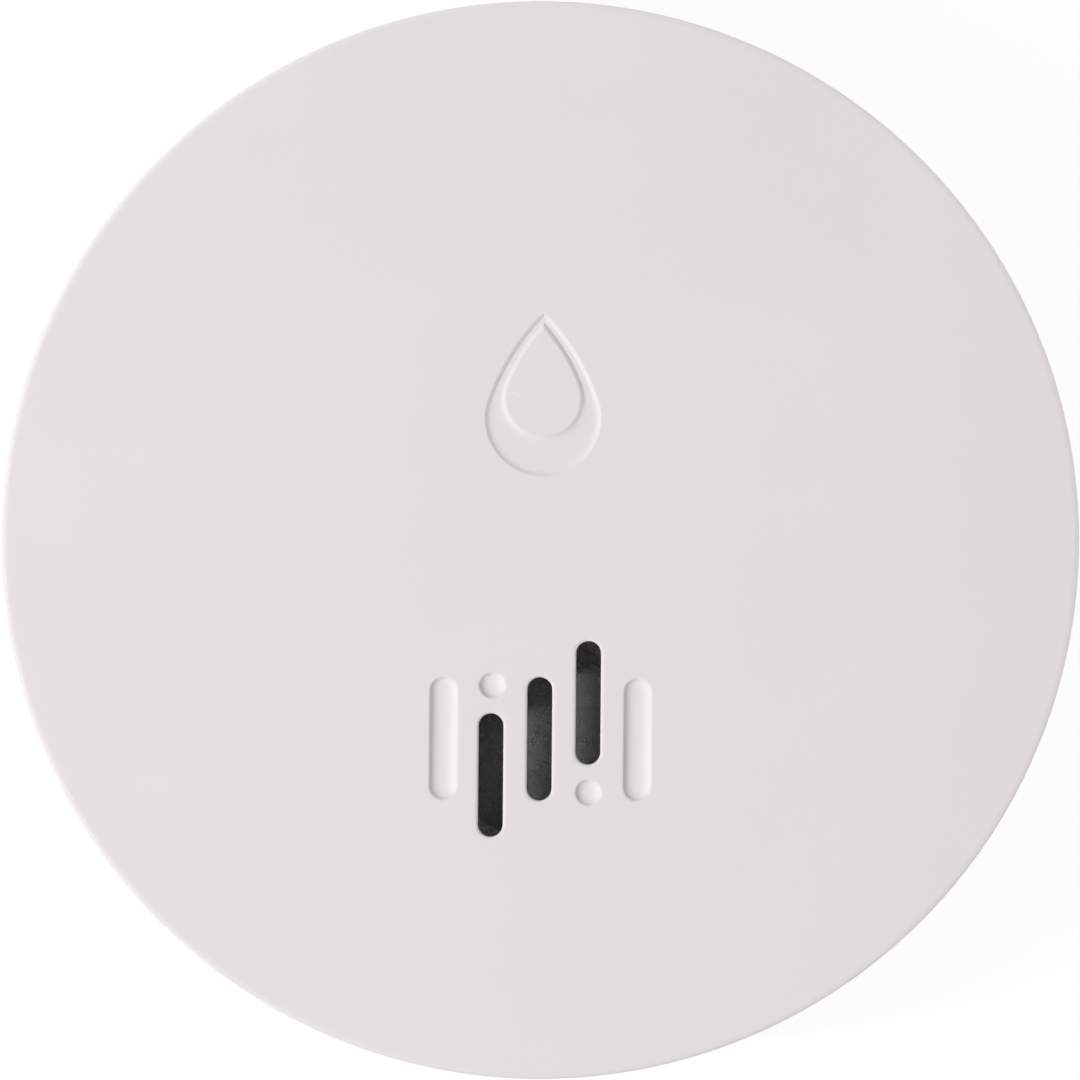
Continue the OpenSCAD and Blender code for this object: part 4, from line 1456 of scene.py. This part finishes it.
@dataclass
class BatteryDoor:
    """Hinged door with its barrels, pins, grip ribs and latch tongue."""

    low: Place = (-26.85, 4.518)
    high: Place = (26.85, 29.963)
    corner: float = 3.0
    faces: Span = (1.5, 3.4)
    edge: float = 0.3
    inner_edge: float = 0.15
    hinge: Place = (1.8634, 2.8)
    barrel: Span = (1.3, 7.0)
    barrel_edge: float = 0.12
    barrel_x: float = 17.0
    pin: Span = (0.8, 1.5)
    pin_edge: float = 0.2
    neck_inset: float = 0.02
    neck_overlap: float = 0.6
    grip: Span = (14.0, 1.2)
    grip_corner: float = 0.54
    grip_y: tuple[float, ...] = (26.563, 23.963, 21.363)
    grip_section: tuple[Step, ...] = ((0.08, 0.0), (0.02, 0.03), (-0.03, 0.1), (-0.2, 0.32), (-0.36, 0.4))
    latch_half: float = 6.0
    latch_y: Span = (26.763, 27.763)
    latch_top: float = 5.2
    latch_root: float = 0.4
    latch_edge: float = 0.2
    nose: float = 0.25
    nose_inset: float = 0.1
    nose_edge: float = 0.06

    def plate(self, work: Workpiece) -> None:
        """Draws the plate with its grips.

        Args:
            work: The mesh in the making.
        """
        (foot, top), edge = self.faces, self.inner_edge
        rim = work.panel(self.low, self.high, self.corner)
        path = rounded(self.edge, (0.0, foot), 5, up=True) + [(0.0, top - edge), (-edge, top)]
        work.fill(work.chain(rim, path))
        length, width = self.grip
        holes = []
        for y in self.grip_y:
            holes.append(work.panel((-length / 2, y), (length / 2, y + width), self.grip_corner, steps=6))
            work.fill(work.chain(holes[-1], [(offset, foot + sunk) for offset, sunk in self.grip_section]))
        work.fill(rim, *holes)

    def knuckles(self, work: Workpiece) -> None:
        """Draws the barrels, the pins and the necks between the barrels and the plate.

        Args:
            work: The mesh in the making.
        """
        (r, length), (pin_r, pin_l), (y, z) = self.barrel, self.pin, self.hinge
        half, reach = length / 2, length / 2 + pin_l
        edge, pin_edge, neck = self.barrel_edge, self.pin_edge, length / 2 - self.neck_inset
        ends = [(pin_r - pin_edge, reach), (pin_r, reach - pin_edge), (pin_r, half), (r - edge, half),
                (r, half - edge)]
        profile = [(a, -h) for a, h in ends] + ends[::-1]
        for x in (-self.barrel_x, self.barrel_x):
            where = Matrix.Translation((x, y, z)) @ Facing.RIGHT.matrix()
            work.aside(lambda w: w.turned(MIDDLE, profile, segments=40), where)
            low = Vector((x - neck, y, self.faces[0]))
            work.block(low, Vector((x + neck, self.low[1] + self.neck_overlap, self.faces[1])), edge)

    def latch(self, work: Workpiece) -> None:
        """Draws the springy tongue and its nose.

        Args:
            work: The mesh in the making.
        """
        (y0, y1), x, z = self.latch_y, self.latch_half, self.faces[1]
        work.block(Vector((-x, y0, z - self.latch_root)), Vector((x, y1, self.latch_top)), self.latch_edge)
        r, end, edge = self.nose, x - self.nose_inset, self.nose_edge
        profile = [(r - edge, -end), (r, edge - end), (r, end - edge), (r - edge, end)]
        where = Matrix.Translation((0.0, y1, z + r)) @ Facing.RIGHT.matrix()
        work.aside(lambda w: w.turned(MIDDLE, profile, segments=24), where)

    def build(self) -> None:
        """Makes the door."""
        work = Workpiece()
        self.plate(work)
        self.knuckles(work)
        self.latch(work)
        fit_piece("door_shell", work, [SHELL_WHITE], Body.DOOR, ["battery_door"])


@dataclass
class Probes:
    """Four gold plated studs with a turned face that stand on the floor."""

    places: tuple[Place, ...] = BaseShell.probe_places
    head_r: float = 3.0
    head_top: float = 1.5
    edge: float = 0.6
    back_edge: float = 0.1
    shank_r: float = 1.45
    shank_top: float = 8.9
    shank_edge: float = 0.2
    dimple: tuple[Step, ...] = ((0.25, 0.16), (0.5, 0.1), (0.75, 0.02), (0.9, 0.0))
    rings: tuple[float, ...] = (1.2, 1.6, 2.0)
    ring_section: tuple[Step, ...] = ((-0.1, 0.0), (-0.04, 0.025), (0.04, 0.025), (0.1, 0.0))

    def build(self) -> None:
        """Makes the probes."""
        work = Workpiece()
        r, top, edge = self.head_r, self.head_top, self.back_edge
        profile = list(self.dimple)
        profile += [(ring + out, z) for ring in self.rings for out, z in self.ring_section]
        profile += rounded(self.edge, (r, 0.0), 7, up=True) + [(r, top - edge), (r - edge, top)]
        r, edge = self.shank_r, self.shank_edge
        profile += [(r, top), (r, self.shank_top - edge), (r - edge, self.shank_top)]
        for place in self.places:
            work.turned(place, profile, segments=64)
        fit_piece("probe_studs", work, [PROBE_GOLD], Body.HOUSING, ["probes"])


@dataclass
class Screws:
    """Three screws with round heads and cross recesses, driven from below."""

    places: tuple[Place, ...] = BaseShell.screw_places
    head_r: float = 2.3
    head: Span = (3.6, 5.2)
    edge: float = 0.6
    back_edge: float = 0.1
    cross: Span = (1.4, 0.4)
    cross_section: tuple[Step, ...] = ((0.05, 0.0), (0.0, 0.05), (-0.1, 0.7), (-0.22, 1.0))
    core: float = 1.0
    thread: tuple[Step, ...] = ((1.0, 0.28), (1.28, 0.44), (1.28, 0.56), (1.0, 0.72))
    pitch: float = 0.8
    tip: float = 15.2
    tip_r: float = 0.5
    tip_cone: float = 0.5
    run_out: float = 0.6

    def cross_recess(self, work: Workpiece, place: Place) -> Ring:
        """Draws the cross recess.

        Args:
            work: The mesh in the making.
            place: Middle of the head.

        Returns:
            The ring at the face of the head.
        """
        (x, y), (arm, half) = place, self.cross
        corners = [(arm, -half), (arm, half), (half, half), (half, arm), (-half, arm), (-half, half),
                   (-arm, half), (-arm, -half), (-half, -half), (-half, -arm), (half, -arm), (half, -half)]
        pen = work.pen(x + corners[0][0], y + corners[0][1])
        for cx, cy in corners[1:]:
            pen.line(x + cx, y + cy)
        rim = work.ring(pen.close())
        work.fill(work.chain(rim, [(offset, self.head[0] + sunk) for offset, sunk in self.cross_section]))
        return rim

    def shank(self) -> list[Step]:
        """Gives the section of the shank with its thread.

        Returns:
            Radius and height of each step, from the head to the tip.
        """
        z = self.head[1]
        path = [(self.core, z)]
        while z + self.pitch < self.tip - self.run_out:
            path += [(r, z + rise) for r, rise in self.thread]
            z += self.pitch
        return path + [(self.core, self.tip - self.tip_cone), (self.tip_r, self.tip)]

    def build(self) -> None:
        """Makes the screws."""
        work = Workpiece()
        (face, seat), edge = self.head, self.back_edge
        path = rounded(self.edge, (0.0, face), 6, up=True) + [(0.0, seat - edge), (-edge, seat)]
        path += [(r - self.head_r, z) for r, z in self.shank()]
        for place in self.places:
            rim = work.circle(place, self.head_r, segments=56)
            work.fill(work.chain(rim, path))
            work.fill(rim, self.cross_recess(work, place))
        fit_piece("screw_set", work, [SCREW_STEEL], Body.HOUSING, ["housing_screws"])


@dataclass
class TestButton:
    """Soft button with a dished face and a flange behind the base."""

    place: Place = BaseShell.button_place
    radius: float = 3.5
    face: float = 1.8
    edge: float = 0.5
    rim: float = 0.25
    dish: float = 0.22
    dish_shares: tuple[float, ...] = (0.06, 0.25, 0.45, 0.65, 0.8, 0.92, 1.0)
    flange: Sizes = (4.7, 4.0, 4.5)
    flange_edge: float = 0.1
    fillet: float = 0.15

    def build(self) -> None:
        """Makes the button."""
        work = Workpiece()
        (r, low, high), edge, fillet = self.flange, self.flange_edge, self.fillet
        flat = self.radius - self.edge - self.rim
        profile = [(flat * k, self.face + self.dish * (1 - k * k)) for k in self.dish_shares]
        profile += rounded(self.edge, (self.radius, self.face), 7, up=True)
        profile += [(self.radius, low - fillet), (self.radius + fillet, low), (r - edge, low),
                    (r, low + edge), (r, high - edge), (r - edge, high)]
        work.turned(self.place, profile, segments=72)
        fit_piece("button_cap", work, [BUTTON_GREY], Body.BUTTON, ["test_button"])


@dataclass
class Cells:
    """Two small cells, head to tail, in plain printed sleeves."""

    radius: float = 5.25
    length: float = 44.5
    pip: Span = (1.9, 0.9)
    height: float = 9.25
    front: Place = (20.25, 11.5134)
    rear: Place = (-20.25, 22.8134)
    band: float = 9.0
    band_gap: float = 0.4

    def draw(self, work: Workpiece) -> None:
        """Draws a cell along Z from its negative end, in sleeve, band and bare steel.

        Args:
            work: The mesh in the making.
        """
        r, (pip_r, pip_l), tip = self.radius, self.pip, self.length
        top, joint = tip - pip_l, tip - pip_l - self.band
        sleeve, band, steel = 0, 1, 2
        path = [((1.6, 0.0), steel), ((3.4, 0.0), steel), ((3.7, 0.12), steel), ((3.95, 0.16), steel),
                ((4.0, 0.02), sleeve), ((4.5, 0.0), sleeve), ((r - 0.12, 0.1), sleeve), ((r, 0.4), sleeve),
                ((r, joint), sleeve), ((r, joint + self.band_gap), steel), ((r, top - 0.4), band),
                ((r - 0.12, top - 0.1), band), ((4.4, top), band), ((4.0, top - 0.03), band),
                ((3.9, top - 0.25), steel), ((2.6, top - 0.25), steel), ((2.3, top - 0.1), steel),
                ((pip_r + 0.05, top), steel), ((pip_r, tip - 0.25), steel), ((pip_r - 0.25, tip), steel)]
        work.turned(MIDDLE, [p for p, _ in path], segments=72, finishes=[n for _, n in path])

    def build(self) -> None:
        """Makes both cells."""
        both = (("cell_front_body", "cell_front", self.front, Facing.LEFT),
                ("cell_rear_body", "cell_rear", self.rear, Facing.RIGHT))
        for name, node, (x, y), facing in both:
            work = Workpiece()
            work.aside(self.draw, Matrix.Translation((x, y, self.height)) @ facing.matrix())
            fit_piece(name, work, [CELL_BLUE, CELL_BAND, CELL_STEEL], Body.HOUSING, [node])


@dataclass
class Springs:
    """Two tapering contact springs at the negative ends of the cells."""

    wire: float = 0.275
    radii: Span = (3.2, 1.85)
    length: float = 3.75
    turns: float = 3.0
    steps: int = 44
    height: float = 9.25
    negative: Place = (-24.42, 22.8134)
    bridge: Place = (24.42, 11.5134)

    def draw(self, work: Workpiece) -> None:
        """Draws a spring along Z from its foot."""
        work.coil(self.wire, self.radii, self.length, self.turns, self.steps)

    def build(self) -> None:
        """Makes both springs."""
        both = (("negative_coil", "negative_spring", self.negative, Facing.RIGHT),
                ("bridge_coil", "bridge_spring", self.bridge, Facing.LEFT))
        for name, node, (x, y), facing in both:
            work = Workpiece()
            work.aside(self.draw, Matrix.Translation((x, y, self.height)) @ facing.matrix())
            fit_piece(name, work, [CONTACT_NICKEL], Body.HOUSING, [node], sharp=60.0)


@dataclass
class Sounder:
    """Black sounder case with its sound hole, and the foam ring that seals it to the cover."""

    place: Place = (0.0, -16.2)
    radius: float = 8.5
    inner: float = 7.5
    heights: Span = (10.1, 17.1)
    edge: float = 0.1
    roof: float = 0.9
    hole: Span = (1.98, 0.8)
    hole_edge: float = 0.12
    foam: Span = (8.55, 10.865)
    foam_z: Span = (15.3, 17.7)
    foam_lift: float = 0.02

    def case(self) -> None:
        """Makes the case."""
        work = Workpiece()
        (low, high), edge, inner = self.heights, self.edge, self.inner - self.radius
        rim = work.circle(self.place, self.radius, segments=144)
        path = rounded(edge, (0.0, high), 4) + [(0.0, low + edge), (-edge, low), (inner, low)]
        ceiling = work.chain(rim, path + [(inner, high - self.roof)])
        mouth = work.circle((self.place[0] + self.hole[0], self.place[1]), self.hole[1], segments=40)
        path = rounded(self.hole_edge, (0.0, high), 3, hole=True)
        throat = work.chain(mouth, path + [(0.0, high - self.roof)])
        work.fill(rim, mouth)
        work.fill(ceiling, throat)
        fit_piece("sounder_shell", work, [SOUNDER_SKIN], Body.HOUSING, ["sounder_case"])

    def foam_ring(self) -> None:
        """Makes the foam ring, which leans on the edge of the case and is pressed flat under the collar."""
        work = Workpiece()
        (low, high), (foot, top) = self.foam, self.foam_z
        out, waist, lean = high - low, (foot + top) / 2, self.heights[1] + self.foam_lift
        path = [(0.02, foot + 0.25), (0.0, waist), (0.0, lean), (-0.25, lean), (0.2, lean + 0.18),
                (0.8, top - 0.16), (1.05, top - 0.04), (1.3, top), (out * 0.75, top), (out - 0.35, top),
                (out - 0.12, top - 0.06), (out - 0.02, top - 0.25), (out, waist),
                (out - 0.02, foot + 0.25), (out - 0.12, foot + 0.06), (out - 0.35, foot),
                (out * 0.5, foot), (0.35, foot), (0.12, foot + 0.06)]
        ring = work.circle(self.place, low, segments=160)
        last = work.chain(ring, path)
        bmesh.ops.bridge_loops(work.bm, edges=ring.edges() + last.edges())
        fit_piece("foam_ring", work, [FOAM_GREY], Body.HOUSING, ["sounder_foam"], sharp=80.0)

    def build(self) -> None:
        """Makes the case and the foam."""
        self.case()
        self.foam_ring()


@dataclass
class PlainParts:
    """Pieces whose plain solids have the right shape and only need their finish."""

    nodes: dict[Finish, tuple[str, ...]] = field(default_factory=lambda: {
        SEAL_GREY: ("housing_seal", "door_seal", "probe_rings"),
        CONTACT_NICKEL: ("positive_contact", "negative_contact", "bridge_contact", "sounder_pins"),
        STANDOFF_BRASS: ("standoffs",),
        BOARD_GREEN: ("main_board", "radio_board"),
        CAN_TIN: ("shield_can", "crystal"),
        CHIP_BLACK: ("controller_chip", "switch_body"),
        FERRITE: ("boost_coil",),
        WIRE_COPPER: ("coil_winding",),
        CAPACITOR_CAN: ("capacitor",),
        PALE_PART: ("chip_parts", "status_lamp", "switch_plunger"),
        DISC_BRASS: ("sounder_disc",),
        SOUNDER_PLAIN: ("sounder_plug",),
    })

    def build(self) -> None:
        """Gives each plain solid its finish."""
        for finish, nodes in self.nodes.items():
            for node in nodes:
                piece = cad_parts[node]
                piece.data.materials.clear()
                piece.data.materials.append(finish.material())
                log.info("%s: %s", node, finish.name)


# Studio


@dataclass(frozen=True)
class Lamp:
    """A soft rectangular lamp that points at the puck, sized in metres and turned in degrees."""

    name: str
    azimuth: float
    height: float
    distance: float
    size: Span
    power: float

    def build(self) -> None:
        """Hangs the lamp."""
        light = bpy.data.lights.new(self.name, "AREA")
        light.shape = "RECTANGLE"
        light.size, light.size_y = self.size
        light.energy = self.power
        lamp = add_object(self.name, light)
        az, el = math.radians(self.azimuth), math.radians(self.height)
        aim = Vector((math.cos(el) * math.cos(az), math.cos(el) * math.sin(az), math.sin(el)))
        lamp.location = aim * self.distance
        lamp.rotation_euler = aim.to_track_quat("Z", "Y").to_euler()


@dataclass
class Studio:
    """Pale floor, soft light from the left and a camera that looks straight down."""

    view_width: float = 88.16
    distance: float = 900.0
    roll: float = 0.48
    centre: Place = (-0.037, 0.002)
    sensor: float = 36.0
    clip: Span = (0.01, 20.0)
    dome: float = 0.461
    zenith: float = 0.5
    zenith_edge: Span = (0.80, 0.96)
    floor_size: float = 3.0
    floor_white: float = 0.95
    floor_tones: tuple[Tone, Tone] = ((0.90, 0.90, 0.90), (0.92, 0.92, 0.92))
    lamps: tuple[Lamp, ...] = (
        Lamp("key", 192.0, 49.0, 1.2, (0.05, 0.45), 10.3),
        Lamp("side", 0.0, -4.0, 1.2, (0.5, 0.25), 5.5),
        Lamp("corner", 60.0, -4.0, 1.2, (0.5, 0.25), 2.4),
        Lamp("back", 120.0, -4.0, 1.2, (0.5, 0.25), 2.6),
        Lamp("under", 250.0, -60.0, 0.9, (0.6, 0.6), 2.4),
    )

    def camera(self) -> None:
        """Places the camera over the middle of the puck."""
        lens = bpy.data.cameras.new("camera")
        lens.type = "PERSP"
        lens.sensor_fit = "HORIZONTAL"
        lens.sensor_width = self.sensor
        lens.lens = self.sensor * self.distance / self.view_width
        lens.clip_start, lens.clip_end = self.clip
        camera = add_object("camera", lens)
        x, y = self.centre
        camera.location = (x * MM, y * MM, CAD_BOX[1].z + self.distance * MM)
        camera.rotation_euler = (0.0, 0.0, math.radians(self.roll))
        bpy.context.scene.camera = camera

    def seen(self, g: Graph) -> NodeSocket:
        """Tells what is seen from the light that falls on things.

        Args:
            g: The tree of the floor or the world.

        Returns:
            1 for what the camera, a mirror or a glass sees, else 0.
        """
        path = g.add("ShaderNodeLightPath").outputs
        mirrored = g.math("MAXIMUM", path["Is Glossy Ray"], path["Is Transmission Ray"])
        return g.math("MAXIMUM", path["Is Camera Ray"], mirrored)

    def world(self) -> None:
        """Lights everything softly from all sides, on a white ground."""
        world = bpy.data.worlds.new("studio")
        g = Graph.emptied(world)
        where = g.add("ShaderNodeTexCoord").outputs["Generated"]
        height = g.add("ShaderNodeSeparateXYZ", Vector=where).outputs["Z"]
        level = g.span(height, *self.zenith_edge, to=(self.dome, self.dome * self.zenith))
        light = g.add("ShaderNodeBackground", Color=(1.0, 1.0, 1.0, 1.0), Strength=level)
        white = g.add("ShaderNodeBackground", Color=(1.0, 1.0, 1.0, 1.0), Strength=1.0)
        g.add("ShaderNodeOutputWorld", Surface=g.mix(self.seen(g), light, white).outputs[0])
        bpy.context.scene.world = world

    def floor(self) -> None:
        """Lays a white floor that keeps a faint shadow, and that only shows from above."""
        bm = bmesh.new()
        bmesh.ops.create_grid(bm, x_segments=1, y_segments=1, size=self.floor_size)
        mesh = bpy.data.meshes.new("floor")
        bm.to_mesh(mesh)
        bm.free()
        material = bpy.data.materials.new("floor_white")
        g = Graph.emptied(material)
        where = g.add("ShaderNodeTexCoord").outputs["Object"]
        tone = g.blend(g.noise(where, 8.0, detail=3.0, rough=0.5), *self.floor_tones)
        shade = g.add("ShaderNodeBsdfPrincipled", Base_Color=tone, Roughness=0.85)
        glow = g.add("ShaderNodeEmission", Color=(1.0, 1.0, 1.0, 1.0), Strength=1.0)
        white = g.mix(self.floor_white, shade, glow)
        front = g.math("SUBTRACT", 1.0, g.add("ShaderNodeNewGeometry").outputs["Backfacing"])
        clear = g.add("ShaderNodeBsdfTransparent")
        ground = g.mix(g.math("MULTIPLY", self.seen(g), front), clear, white)
        g.add("ShaderNodeOutputMaterial", Surface=ground.outputs[0])
        mesh.materials.append(material)
        floor = add_object("floor", mesh)

    def build(self) -> None:
        """Sets up the whole studio."""
        self.world()
        self.floor()
        for lamp in self.lamps:
            lamp.build()
        self.camera()
        bpy.context.scene.view_settings.view_transform = "Standard"


def main() -> None:
    """Builds the sensor and its studio."""
    logging.basicConfig(level=logging.INFO, format="%(name)s %(message)s")
    for part in (PlainParts(), TopCover(), BaseShell(), BatteryDoor(), Probes(), Screws(), TestButton(),
                 Cells(), Springs(), Sounder(), Studio()):
        part.build()


if __name__ == "__main__":
    main()
